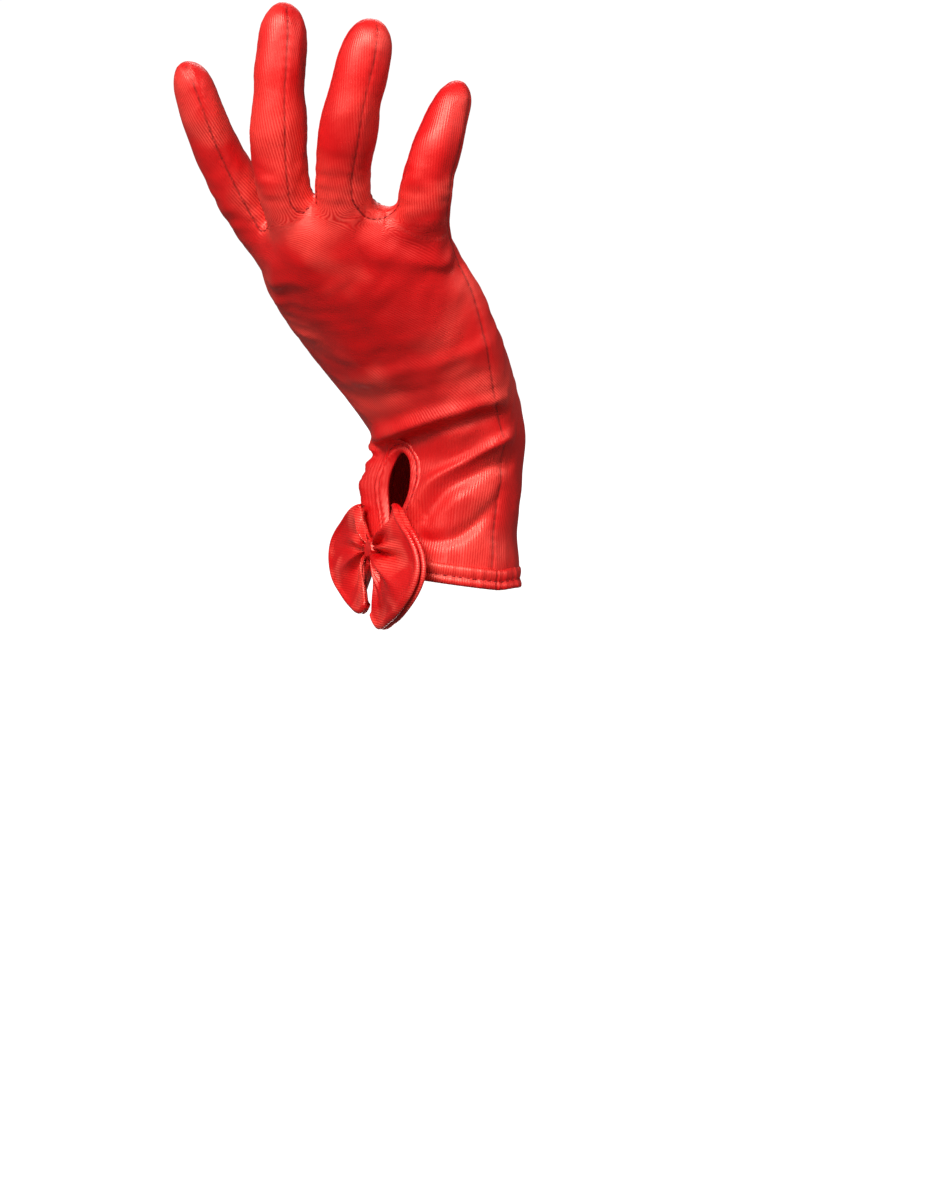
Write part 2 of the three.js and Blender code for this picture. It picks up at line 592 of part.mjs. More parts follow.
// Puts a solid into the glove's group as a named mesh with its own material
function addPiece(group, name, solid) {
  const mesh = solid.simplify(SMALLEST_EDGE).getMesh();
  const geometry = new THREE.BufferGeometry();
  geometry.setAttribute('position', new THREE.BufferAttribute(mesh.vertProperties, 3));
  geometry.setIndex(new THREE.BufferAttribute(mesh.triVerts, 1));
  geometry.computeVertexNormals();
  const piece = new THREE.Mesh(geometry, new THREE.MeshStandardMaterial(SATIN));
  piece.name = name;
  group.add(piece);
}

function buildGlove() {
  const glove = new THREE.Group();
  const cuffTop = HEM_HEIGHT + SEAM_GAP;
  const inside = gloveSkin(-CLOTH, cuffTop - 2);
  const shell = gloveSkin(0, cuffTop).subtract(inside);

  const [index, middle, ring, little] = FINGER_FRAMES;
  const forks = [[index, middle], [middle, ring], [ring, little]];
  const strip = ([near, far], clearance) => joined([stripWedge(near, 90, clearance),
    stripWedge(far, 270, clearance), forkBlock(near, far, clearance)]);
  const strips = forks.map((fork) => biggest(shell.intersect(strip(fork, 0))));
  const open = forks.reduce((cloth, fork) => cloth.subtract(strip(fork, SEAM_GAP)), shell);

  const palmSide = (clearance) => joined([bodyPalmSide(clearance),
    ...FINGER_FRAMES.map((frames) => fingerPalmSide(frames, clearance))]);
  const thumb = thumbFrames();
  const thumbOut = fingerSolid(thumb, SEAM_GAP);
  const binding = keyholePrism(BINDING_WIDTH + SEAM_GAP, -1);
  const back = open.subtract(palmSide(-SEAM_GAP / 2)).subtract(binding).subtract(thumbOut);
  const palm = open.intersect(palmSide(SEAM_GAP / 2)).subtract(thumbOut);
  const thumbShell = fingerSolid(thumb, 0).subtract(fingerSolid(thumb, -CLOTH)).subtract(inside);

  addPiece(glove, 'back_panel', biggest(back));
  addPiece(glove, 'palm_panel', biggest(palm));
  addPiece(glove, 'fourchette_index_middle', strips[0]);
  addPiece(glove, 'fourchette_middle_ring', strips[1]);
  addPiece(glove, 'fourchette_ring_little', strips[2]);
  addPiece(glove, 'thumb_piece', biggest(thumbShell));
  addPiece(glove, 'cuff_hem', cuffHem());
  addPiece(glove, 'keyhole_binding', keyholeBinding());

  const tabOut = cuffOut(BOW_HEIGHT) + BINDING_STAND + SEAM_GAP + TAB_THICKNESS / 2;
  const knotOut = tabOut + TAB_THICKNESS / 2 + SEAM_GAP + KNOT_DEPTH / 2;
  const knot = bowKnot(knotOut);
  addPiece(glove, 'closure_tab', closureTab(tabOut));
  addPiece(glove, 'bow_knot', knot);
  addPiece(glove, 'bow_wing_thumb_side', biggest(bowWing(-1, knotOut).subtract(knot)));
  addPiece(glove, 'bow_wing_little_side', biggest(bowWing(1, knotOut).subtract(knot)));
  return glove;
}

export default buildGlove();
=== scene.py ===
"""Wrist length dress glove in red stretch satin, for the right hand, with a keyhole at the wrist and a bow.

Lengths are millimetres in the CAD's frame and turn to metres where a mesh is finished. The origin is the
middle of the wrist opening, +Z runs up the cuff, -Y is the back of the hand and +X is the little finger's
side. Angles round the hand run from the back over the little finger's side to the palm.
"""

from __future__ import annotations

import logging
import math
from dataclasses import dataclass, field
from enum import Enum

import bmesh
import bpy
import numpy as np
from mathutils import Matrix, Vector, noise
from mathutils.bvhtree import BVHTree
from mathutils.kdtree import KDTree

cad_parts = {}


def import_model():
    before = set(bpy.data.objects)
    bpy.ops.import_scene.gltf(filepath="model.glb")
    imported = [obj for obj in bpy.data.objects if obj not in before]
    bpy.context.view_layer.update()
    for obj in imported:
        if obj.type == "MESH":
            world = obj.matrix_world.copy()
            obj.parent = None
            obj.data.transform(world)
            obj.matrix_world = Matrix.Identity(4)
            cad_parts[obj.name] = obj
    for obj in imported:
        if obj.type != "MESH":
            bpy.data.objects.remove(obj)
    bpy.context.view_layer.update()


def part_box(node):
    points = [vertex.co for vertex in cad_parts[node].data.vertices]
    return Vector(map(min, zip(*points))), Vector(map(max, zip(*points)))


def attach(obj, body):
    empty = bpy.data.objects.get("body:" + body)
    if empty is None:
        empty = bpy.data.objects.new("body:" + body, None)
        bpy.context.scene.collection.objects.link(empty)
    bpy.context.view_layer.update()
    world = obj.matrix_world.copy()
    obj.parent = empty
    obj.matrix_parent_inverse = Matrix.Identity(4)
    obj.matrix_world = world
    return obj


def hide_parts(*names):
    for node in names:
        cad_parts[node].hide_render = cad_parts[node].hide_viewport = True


logging.basicConfig(level=logging.INFO, format="%(levelname)s %(message)s")
log = logging.getLogger("dress_glove")

MM = 0.001
BODY = "root"
CLOTH_PLACE = "cloth_place"
# Trim pieces have no seam of their own, so their cloth is this many millimetres from one
CLEAR_OF_SEAMS = 5.0
# Distance between the points of a seam's line
SEAM_STEP = 0.45
# A finger's tip bulges a little more than a half ball
TIP_BULGE = 1.1

# Tables of the hand's form and of its folds


@dataclass(frozen=True)
class Section:
    """One section of the hand's cloth, as shares of the palm's width, thickness and length."""

    at: float
    thumb: float
    little: float
    back: float
    palm: float
    lift: float = 0.0
    tilt: float = 0.0
    arch: float = 0.0
    crown: float = 0.0
    slope: float = 0.0


@dataclass(frozen=True)
class Finger:
    """One finger: where its fork is, how it turns in degrees, and its lengths and radii as shares."""

    name: str
    x: float
    y: float
    z: float
    splay: float
    flex: float
    curl: float
    near: float
    far: float
    root: float
    joint: float
    tip: float


@dataclass(frozen=True)
class Fold:
    """A ridge or valley of the cloth from one place to another.

    The places are an angle round the hand and a share of the body's length. The sag is a share of that
    length, and rise and breadth are millimetres.
    """

    name: str
    start: tuple[float, float]
    end: tuple[float, float]
    sag: float
    rise: float
    breadth: float


SECTIONS = (
    Section(0.00, 0.365, 0.365, 0.760, 0.760),
    Section(0.06, 0.355, 0.355, 0.735, 0.735),
    Section(0.14, 0.350, 0.337, 0.705, 0.660),
    Section(0.24, 0.362, 0.332, 0.665, 0.615),
    Section(0.33, 0.380, 0.358, 0.600, 0.690, 0.0, 0.02, 0.02),
    Section(0.42, 0.410, 0.400, 0.550, 0.715, -0.02, 0.06, 0.04),
    Section(0.54, 0.455, 0.437, 0.510, 0.620, -0.05, 0.13, 0.09, 0.020, 0.010),
    Section(0.66, 0.480, 0.447, 0.490, 0.520, -0.09, 0.21, 0.15, 0.060, 0.020),
    Section(0.78, 0.485, 0.433, 0.470, 0.450, -0.14, 0.29, 0.23, 0.130, 0.040),
    Section(0.89, 0.465, 0.407, 0.430, 0.385, -0.18, 0.35, 0.30, 0.210, 0.060),
    Section(0.96, 0.440, 0.388, 0.350, 0.320, -0.20, 0.36, 0.34, 0.240, 0.066),
    Section(0.985, 0.425, 0.375, 0.240, 0.220, -0.21, 0.36, 0.36, 0.245, 0.066),
    Section(1.00, 0.415, 0.370, 0.030, 0.030, -0.21, 0.36, 0.36, 0.245, 0.066),
)

FINGERS = (
    Finger("index", -0.363, -0.276, 0.927, -2.0, 2.9, 9.2, 0.546, 0.371, 0.445, 0.405, 0.355),
    Finger("middle", -0.123, -0.303, 1.027, 9.0, 22.8, 13.3, 0.559, 0.420, 0.480, 0.465, 0.410),
    Finger("ring", 0.120, -0.072, 0.999, 22.8, 19.5, 17.8, 0.508, 0.360, 0.490, 0.475, 0.420),
    Finger("little", 0.366, 0.272, 0.838, 23.6, 31.5, 18.2, 0.356, 0.272, 0.465, 0.410, 0.350),
)

# Thumb: x, y, z as shares of the palm's sizes, and radius as a share of the thumb's width
THUMB_LINE = (
    (-0.23, 0.14, 0.02, 0.54),
    (-0.41, 0.36, 0.27, 0.50),
    (-0.46, 0.80, 0.53, 0.45),
    (-0.40, 1.16, 0.68, 0.40),
)

# Ridges and valleys that the bent wrist and the stretched fingers push up in the cloth
FOLDS = (
    Fold("upper ridge", (-64, 0.325), (88, 0.430), -0.075, 2.9, 2.7),
    Fold("upper valley", (-30, 0.345), (86, 0.385), -0.058, -1.7, 2.8),
    Fold("lower ridge", (-2, 0.130), (90, 0.330), -0.086, 2.7, 2.6),
    Fold("lower valley", (6, 0.088), (88, 0.268), -0.076, -1.6, 2.6),
    Fold("cuff crease", (8, 0.100), (82, 0.240), 0.055, -1.6, 2.2),
    Fold("cuff swell", (14, 0.150), (76, 0.205), -0.020, 1.5, 5.0),
    Fold("hand ridge", (-42, 0.550), (82, 0.600), -0.016, 0.9, 3.2),
    Fold("hand valley", (-46, 0.500), (82, 0.525), -0.018, -0.8, 3.4),
    Fold("index crumple upper", (-56, 0.900), (-14, 0.865), 0.010, 0.8, 2.6),
    Fold("index crumple middle", (-58, 0.820), (-20, 0.800), -0.010, 0.7, 2.4),
    Fold("index crumple lower", (-56, 0.735), (-24, 0.700), 0.010, 0.7, 2.6),
    Fold("little knuckle", (26, 0.925), (78, 0.885), -0.010, 1.6, 6.0),
    Fold("keyhole side roll", (-52, -0.070), (-50, 0.340), 0.0, 5.4, 4.6),
    Fold("thumb upper bunch", (-92, 0.345), (-40, 0.320), 0.0, 2.2, 3.4),
    Fold("thumb middle bunch", (-90, 0.262), (-46, 0.250), 0.0, 1.8, 2.8),
    Fold("thumb lower bunch", (-90, 0.180), (-46, 0.190), 0.0, 1.8, 3.2),
    Fold("index tendon", (-25, 0.960), (-50, 0.780), 0.0, 0.9, 3.4),
    Fold("palm crease upper", (110, 0.400), (230, 0.395), 0.020, -1.4, 2.4),
    Fold("palm crease lower", (120, 0.310), (245, 0.300), 0.016, -1.0, 2.2),
    Fold("palm heel", (130, 0.480), (170, 0.560), 0.0, 1.0, 7.0),
)


def turn_matrix(axis: str, degrees: float) -> np.ndarray:
    """Make a rotation matrix.

    Args:
        axis: X, Y or Z.
        degrees: The angle of the turn.

    Returns:
        A three by three matrix.
    """
    return np.array(Matrix.Rotation(math.radians(degrees), 3, axis))


def smoothstep(low: float, high: float, value: np.ndarray) -> np.ndarray:
    """Rise smoothly from 0 at low to 1 at high.

    Args:
        low: Where the rise starts.
        high: Where it ends.
        value: The numbers to read.

    Returns:
        A share for each number.
    """
    share = np.clip((np.asarray(value, float) - low) / (high - low), 0.0, 1.0)
    return share * share * (3.0 - 2.0 * share)


@dataclass
class FingerLine:
    """Frames along a finger or thumb, from inside the palm to the middle of its tip."""

    name: str
    place: np.ndarray
    ahead: np.ndarray
    side: np.ndarray
    down: np.ndarray
    radius: np.ndarray
    above: np.ndarray

    def ring(self, index: int, angles: np.ndarray, radius: float, ahead: float = 0.0) -> np.ndarray:
        """Lay points round one frame.

        Args:
            index: The frame.
            angles: Angles from the back towards the little finger, in degrees.
            radius: The ring's radius.
            ahead: How far in front of the frame the ring lies.

        Returns:
            One point for each angle.
        """
        turn = np.radians(angles)[:, None]
        across = self.side[index] * np.sin(turn) - self.down[index] * np.cos(turn)
        return self.place[index] + across * radius + self.ahead[index] * ahead


@dataclass
class HandForm:
    """The smooth form that the cloth is stretched over, the same as the CAD's."""

    cuff_rise: float = 29.0
    bend_length: float = 34.0
    wrist_bend: float = 42.8
    wrist_lean: float = 6.0
    palm_length: float = 86.5
    palm_width: float = 78.0
    palm_thickness: float = 29.0
    finger_length: float = 59.0
    finger_width: float = 19.0
    thumb_length: float = 62.0
    thumb_width: float = 20.5
    root_depth: float = 0.3
    root_gather: float = 0.82
    root_taper: float = 0.72
    spine_step: float = 0.5

    def __post_init__(self) -> None:
        """Work out the middle line's table once."""
        self.hand_start = self.cuff_rise + self.bend_length
        self.length = self.hand_start + self.palm_length
        self.spine_at = np.arange(-10.0, self.length + 40.0, self.spine_step)
        middle = self.spine_at[:-1] + self.spine_step / 2
        heading = np.array([self.bend_turn((a - self.cuff_rise) / self.bend_length)[:, 2] for a in middle])
        start = np.array([[0.0, 0.0, self.spine_at[0]]])
        self.spine_place = np.vstack([start, start + np.cumsum(heading * self.spine_step, axis=0)])
        turns = [self.bend_turn((a - self.cuff_rise) / self.bend_length) for a in self.spine_at]
        self.spine_turn = np.array(turns)
        self.columns = {
            name: np.array([getattr(row, name) for row in SECTIONS]) for name in Section.__dataclass_fields__
        }
        self.hand_place, self.hand_turn = self.spine(np.array([self.hand_start]))
        self.lines = [self.finger_line(row) for row in FINGERS]
        self.thumb = self.thumb_line()

    def bend_turn(self, share: float) -> np.ndarray:
        """Give the rotation matrix after a share of the wrist's bend."""
        eased = float(smoothstep(0.0, 1.0, share))
        return turn_matrix("Y", -self.wrist_lean * eased) @ turn_matrix("X", self.wrist_bend * eased)

    def spine(self, along: np.ndarray) -> tuple[np.ndarray, np.ndarray]:
        """Read the middle line.

        Args:
            along: Distances from the hem.

        Returns:
            The places and the turns there.
        """
        spot = np.clip((along - self.spine_at[0]) / self.spine_step, 0, len(self.spine_at) - 1.001)
        low = spot.astype(int)
        part = (spot - low)[:, None]
        place = self.spine_place[low] * (1 - part) + self.spine_place[low + 1] * part
        part = part[:, :, None]
        turn = self.spine_turn[low] * (1 - part) + self.spine_turn[low + 1] * part
        return place, turn

    def section(self, along: np.ndarray) -> dict[str, np.ndarray]:
        """Read the table of sections with a smooth curve through its rows.

        Args:
            along: Distances from the hem.

        Returns:
            Each column at each distance.
        """
        at = self.columns["at"]
        value = np.clip(along / self.length, 0.0, 1.0)
        low = np.clip(np.searchsorted(at, value, side="left") - 1, 0, len(at) - 2)
        apart = at[low + 1] - at[low]
        t = (value - at[low]) / apart
        square, cube = t * t, t * t * t
        read = {}
        for name, column in self.columns.items():
            start, end = column[low], column[low + 1]
            before_row, after_row = np.maximum(low - 1, 0), np.minimum(low + 2, len(at) - 1)
            before = np.where(low == 0, end - start,
                              (end - column[before_row]) * apart / (at[low + 1] - at[before_row]))
            after = np.where(low == len(at) - 2, end - start,
                             (column[after_row] - start) * apart / (at[after_row] - at[low]))
            read[name] = ((2 * cube - 3 * square + 1) * start + (cube - 2 * square + t) * before
                          + (3 * square - 2 * cube) * end + (cube - square) * after)
        return read

    def girth(self, along: np.ndarray) -> np.ndarray:
        """Give the cloth's girth at distances along the hand."""
        row = self.section(along)
        return math.pi * ((row["thumb"] + row["little"]) / 2 * self.palm_width
                          + (row["back"] + row["palm"]) / 2 * self.palm_thickness)

    def skin(self, along: np.ndarray, around: np.ndarray, grow: np.ndarray | float = 0.0) -> np.ndarray:
        """Find points on the body's smooth surface.

        Args:
            along: Distances from the hem.
            around: Angles from the back, in degrees.
            grow: How far outside the surface the points lie.

        Returns:
            One point for each distance and angle.
        """
        row = self.section(along)
        across, down = np.sin(np.radians(around)), -np.cos(np.radians(around))
        wide = np.where(across < 0, row["thumb"], row["little"]) * self.palm_width
        depth = np.where(down < 0, row["back"], row["palm"]) * self.palm_thickness
        x = across * (wide + grow)
        y = down * np.maximum(depth + grow, 0.3)
        side = x / (self.palm_width / 2)
        y = y + (row["lift"] + row["tilt"] * side + row["arch"] * side * side) * self.palm_thickness
        z = -(row["crown"] * side * side + row["slope"] * side) * self.palm_length
        place, turn = self.spine(along)
        return place + np.einsum("nij,nj->ni", turn, np.stack([x, y, z], axis=1))

    def unroll(self, points: np.ndarray) -> tuple[np.ndarray, np.ndarray]:
        """Find where points of the body's cloth lie on it.

        Args:
            points: Points on or near the surface.

        Returns:
            Their angles from the back in degrees, and their distances from the hem.
        """
        along = np.clip(points[:, 2], 0.0, self.length)
        for _ in range(30):
            place, turn = self.spine(along)
            local = np.einsum("nji,nj->ni", turn, points - place)
            row = self.section(along)
            side = local[:, 0] / (self.palm_width / 2)
            fall = (row["crown"] * side * side + row["slope"] * side) * self.palm_length
            along = np.clip(along + 0.6 * (local[:, 2] + fall), -5.0, self.length)
        rise = (row["lift"] + row["tilt"] * side + row["arch"] * side * side) * self.palm_thickness
        x, y = local[:, 0], local[:, 1] - rise
        wide = np.where(x < 0, row["thumb"], row["little"]) * self.palm_width
        depth = np.maximum(np.where(y < 0, row["back"], row["palm"]) * self.palm_thickness, 0.3)
        return np.degrees(np.arctan2(x / wide, -y / depth)), along

    def hand(self, x: float, y: float, z: float) -> np.ndarray:
        """Place a point in the hand, given as shares of the palm's width, thickness and length."""
        local = np.array([x * self.palm_width, y * self.palm_thickness, z * self.palm_length])
        return self.hand_place[0] + self.hand_turn[0] @ local

    def finger_line(self, row: Finger) -> FingerLine:
        """Lay the frames of one finger.

        Args:
            row: The finger's row.

        Returns:
            Its frames.
        """
        def turned(flex: float) -> np.ndarray:
            """Turn the hand's axes to the finger's, bent by an angle."""
            return self.hand_turn[0] @ turn_matrix("Y", row.splay) @ turn_matrix("X", -flex)

        fork = self.hand(row.x, row.y, row.z)
        joint = fork + turned(row.flex)[:, 2] * row.near * self.finger_length
        tip = joint + turned(row.flex + row.curl)[:, 2] * row.far * self.finger_length
        root = self.hand(row.x * self.root_gather, row.y, row.z - self.root_depth)
        radii = np.array([self.root_taper * row.root, row.root, row.joint, row.tip]) * self.finger_width
        return self.frames(row.name, [root, fork, joint, tip], turned(0.0)[:, 0], radii)

    def thumb_line(self) -> FingerLine:
        """Lay the frames of the thumb, with its line scaled to the thumb's length.

        Returns:
            Its frames.
        """
        points = [self.hand(*row[:3]) for row in THUMB_LINE]
        whole = sum(np.linalg.norm(b - a) for a, b in zip(points, points[1:]))
        scaled = [points[0] + (p - points[0]) * self.thumb_length / whole for p in points]
        radii = np.array([row[3] for row in THUMB_LINE]) * self.thumb_width
        return self.frames("thumb", scaled, self.hand_turn[0][:, 0], radii)

    @staticmethod
    def curve(points: list[np.ndarray], stop: float) -> tuple[np.ndarray, np.ndarray]:
        """Read a smooth line through four points.

        Args:
            points: The points.
            stop: The place along it, from 0 to 1.

        Returns:
            The point and the direction there.
        """
        whole = min(int(stop * 3 + 1e-9), 2)
        t = stop * 3 - whole
        before = points[whole - 1] if whole > 0 else 2 * points[0] - points[1]
        after = points[whole + 2] if whole < 2 else 2 * points[3] - points[2]
        start, end = points[whole], points[whole + 1]
        gap0 = math.sqrt(np.linalg.norm(start - before))
        gap1 = math.sqrt(np.linalg.norm(end - start))
        gap2 = math.sqrt(np.linalg.norm(after - end))
        leave = ((start - before) / gap0 - (end - before) / (gap0 + gap1) + (end - start) / gap1) * gap1
        reach = ((end - start) / gap1 - (after - start) / (gap1 + gap2) + (after - end) / gap2) * gap1
        c2 = -3 * start + 3 * end - 2 * leave - reach
        c3 = 2 * start - 2 * end + leave + reach
        point = start + leave * t + c2 * t * t + c3 * t ** 3
        heading = leave + 2 * c2 * t + 3 * c3 * t * t
        return point, heading / np.linalg.norm(heading)

    def frames(self, name: str, points: list[np.ndarray], lateral: np.ndarray,
               radii: np.ndarray) -> FingerLine:
        """Lay frames along a line through four points.

        Args:
            name: The finger's name.
            points: The line's points.
            lateral: The direction towards the little finger's side.
            radii: The radius at each point.

        Returns:
            The frames, from the first point to the last.
        """
        stops = np.linspace(0.0, 1.0, 73)
        read = [self.curve(points, s) for s in stops]
        place = np.array([point for point, _ in read])
        ahead = np.array([heading for _, heading in read])
        side = lateral - (ahead @ lateral)[:, None] * ahead
        side = side / np.linalg.norm(side, axis=1)[:, None]
        down = np.cross(ahead, side)
        radius = np.interp(stops * 3, np.arange(4), radii)
        return FingerLine(name, place, ahead, side, down, radius, stops * 3 - 1)


# Making and reading meshes


def loft_faces(rings: int, sides: int, start: int = 0, closed: bool = True) -> list[tuple[int, ...]]:
    """Join rings of points with quads.

    Args:
        rings: How many rings there are.
        sides: How many points each has.
        start: The first point's number.
        closed: Whether each ring runs back to its first point.

    Returns:
        The faces.
    """
    faces = []
    for i in range(rings - 1):
        for j in range(sides if closed else sides - 1):
            k = (j + 1) % sides
            faces.append((start + i * sides + j, start + i * sides + k,
                          start + (i + 1) * sides + k, start + (i + 1) * sides + j))
    return faces


def capped_loft(rings: list[np.ndarray], start: int) -> tuple[np.ndarray, list[tuple[int, ...]]]:
    """Make a closed tube through rings, with a face over each end.

    Args:
        rings: Rings of equally many points.
        start: The first point's number.

    Returns:
        The points and the faces.
    """
    sides = len(rings[0])
    faces = loft_faces(len(rings), sides, start)
    faces.append(tuple(start + j for j in range(sides - 1, -1, -1)))
    faces.append(tuple(start + (len(rings) - 1) * sides + j for j in range(sides)))
    return np.vstack(rings), faces


def make_object(name: str, points: np.ndarray, faces: list, unit: float = MM) -> bpy.types.Object:
    """Make an object from points and faces, with its faces turned outwards.

    Args:
        name: The object's name.
        points: The points.
        faces: The faces.
        unit: What one unit of the points is in metres.

    Returns:
        The object, linked to the scene and shaded smooth.
    """
    mesh = bpy.data.meshes.new(name)
    mesh.from_pydata((points * unit).tolist(), [], [tuple(int(i) for i in f) for f in faces])
    mesh.validate()
    shaper = bmesh.new()
    shaper.from_mesh(mesh)
    bmesh.ops.remove_doubles(shaper, verts=shaper.verts, dist=1e-5 * unit)
    bmesh.ops.recalc_face_normals(shaper, faces=shaper.faces)
    shaper.to_mesh(mesh)
    shaper.free()
    mesh.shade_smooth()
    made = bpy.data.objects.new(name, mesh)
    bpy.context.scene.collection.objects.link(made)
    return made


def apply_modifiers(piece: bpy.types.Object) -> None:
    """Replace a piece's mesh with what its modifiers make of it, and remove them.

    Args:
        piece: The piece.
    """
    depsgraph = bpy.context.evaluated_depsgraph_get()
    made = bpy.data.meshes.new_from_object(piece.evaluated_get(depsgraph))
    piece.modifiers.clear()
    piece.data = made


def read_points(mesh: bpy.types.Mesh) -> np.ndarray:
    """Read a mesh's points.

    Args:
        mesh: The mesh.

    Returns:
        One row for each point, in the mesh's own unit.
    """
    points = np.empty(len(mesh.vertices) * 3)
    mesh.vertices.foreach_get("co", points)
    return points.reshape(-1, 3)


def read_mesh(mesh: bpy.types.Mesh) -> tuple[np.ndarray, np.ndarray, np.ndarray]:
    """Read a mesh of quads.

    Args:
        mesh: The mesh.

    Returns:
        Its points, its faces' corners and its edges.
    """
    corners = np.empty(len(mesh.loops), int)
    mesh.loops.foreach_get("vertex_index", corners)
    edges = np.empty(len(mesh.edges) * 2, int)
    mesh.edges.foreach_get("vertices", edges)
    return read_points(mesh), corners.reshape(-1, 4), edges.reshape(-1, 2)


def store_cloth_place(mesh: bpy.types.Mesh, place: np.ndarray) -> None:
    """Store where each point lies on its cloth, which the satin's knit follows.

    Args:
        mesh: The mesh.
        place: Millimetres across the cloth, along it and from the nearest seam, for each point.
    """
    attribute = mesh.attributes.new(CLOTH_PLACE, "FLOAT_VECTOR", "POINT")
    attribute.data.foreach_set("vector", place.ravel())


def smooth_points(points: np.ndarray, edges: np.ndarray, weight: np.ndarray, rounds: int) -> np.ndarray:
    """Move each point towards the middle of its neighbours.

    Args:
        points: The points.
        edges: The edges that make neighbours.
        weight: How far each point moves, from 0 to 1.
        rounds: How many times it is done.

    Returns:
        The moved points.
    """
    ends = np.concatenate([edges[:, 0], edges[:, 1]])
    others = np.concatenate([edges[:, 1], edges[:, 0]])
    count = np.maximum(np.bincount(ends, minlength=len(points)), 1)
    moved = points.copy()
    for _ in range(rounds):
        totals = [np.bincount(ends, moved[others, k], len(points)) for k in range(3)]
        middle = np.stack([total / count for total in totals], axis=1)
        moved += (middle - moved) * np.asarray(weight).reshape(-1, 1)
    return moved


def point_normals(points: np.ndarray, quads: np.ndarray) -> np.ndarray:
    """Give the outward direction at each point of a mesh of quads.

    Args:
        points: The points.
        quads: The faces.

    Returns:
        One unit vector for each point.
    """
    cross = np.cross(points[quads[:, 2]] - points[quads[:, 0]], points[quads[:, 3]] - points[quads[:, 1]])
    total = np.zeros_like(points)
    for k in range(3):
        total[:, k] = sum(np.bincount(quads[:, c], cross[:, k], len(points)) for c in range(4))
    return total / np.maximum(np.linalg.norm(total, axis=1), 1e-12)[:, None]


def resample(points: np.ndarray, step: float) -> np.ndarray:
    """Lay points at even distances along a line.

    Args:
        points: The line's points.
        step: The distance between the new ones.

    Returns:
        The new points.
    """
    gaps = np.linalg.norm(np.diff(points, axis=0), axis=1)
    at = np.concatenate([[0.0], np.cumsum(gaps)])
    count = max(int(round(at[-1] / step)), 2)
    spots = np.linspace(0.0, at[-1], count + 1)
    return np.stack([np.interp(spots, at, points[:, k]) for k in range(3)], axis=1)


def smooth_line(values: np.ndarray, rounds: int) -> np.ndarray:
    """Even out a run of numbers.

    Args:
        values: The numbers.
        rounds: How many times each moves to the middle of its neighbours.

    Returns:
        The evened numbers.
    """
    made = values.copy()
    for _ in range(rounds):
        made[1:-1] = made[1:-1] * 0.5 + (made[:-2] + made[2:]) * 0.25
    return made


# Cloth and thread finishes


def dress_trim(piece: bpy.types.Object, across: np.ndarray, along: np.ndarray, finish: SatinFinish) -> None:
    """Give a piece of trim the direction of its knit and its finish.

    Args:
        piece: The piece.
        across: Millimetres across its cloth, for each point.
        along: Millimetres along its cloth, for each point.
        finish: Its satin.
    """
    clear = np.full(len(across), CLEAR_OF_SEAMS)
    store_cloth_place(piece.data, np.stack([across, along, clear], axis=1))
    piece.data.materials.append(finish.build())


def srgb(value: str) -> tuple[float, float, float, float]:
    """Turn an sRGB hex colour into a linear one.

    Args:
        value: The colour, such as c8101a.

    Returns:
        Red, green, blue and alpha.
    """
    parts = [int(value[i:i + 2], 16) / 255 for i in (0, 2, 4)]
    linear = [p / 12.92 if p <= 0.04045 else ((p + 0.055) / 1.055) ** 2.4 for p in parts]
    return (linear[0], linear[1], linear[2], 1.0)


def add_node(tree: bpy.types.NodeTree, kind: str, settings: dict | None = None,
             inputs: dict | None = None) -> bpy.types.Node:
    """Add a node with its settings, values and links.

    Args:
        tree: The tree that gets the node.
        kind: The node's type name.
        settings: Properties of the node.
        inputs: Input names or numbers, each with a value or another node's output.

    Returns:
        The node.
    """
    node = tree.nodes.new(kind)
    for name, value in (settings or {}).items():
        setattr(node, name, value)
    for name, value in (inputs or {}).items():
        if isinstance(value, bpy.types.NodeSocket):
            tree.links.new(value, node.inputs[name])
        else:
            node.inputs[name].default_value = value
    return node


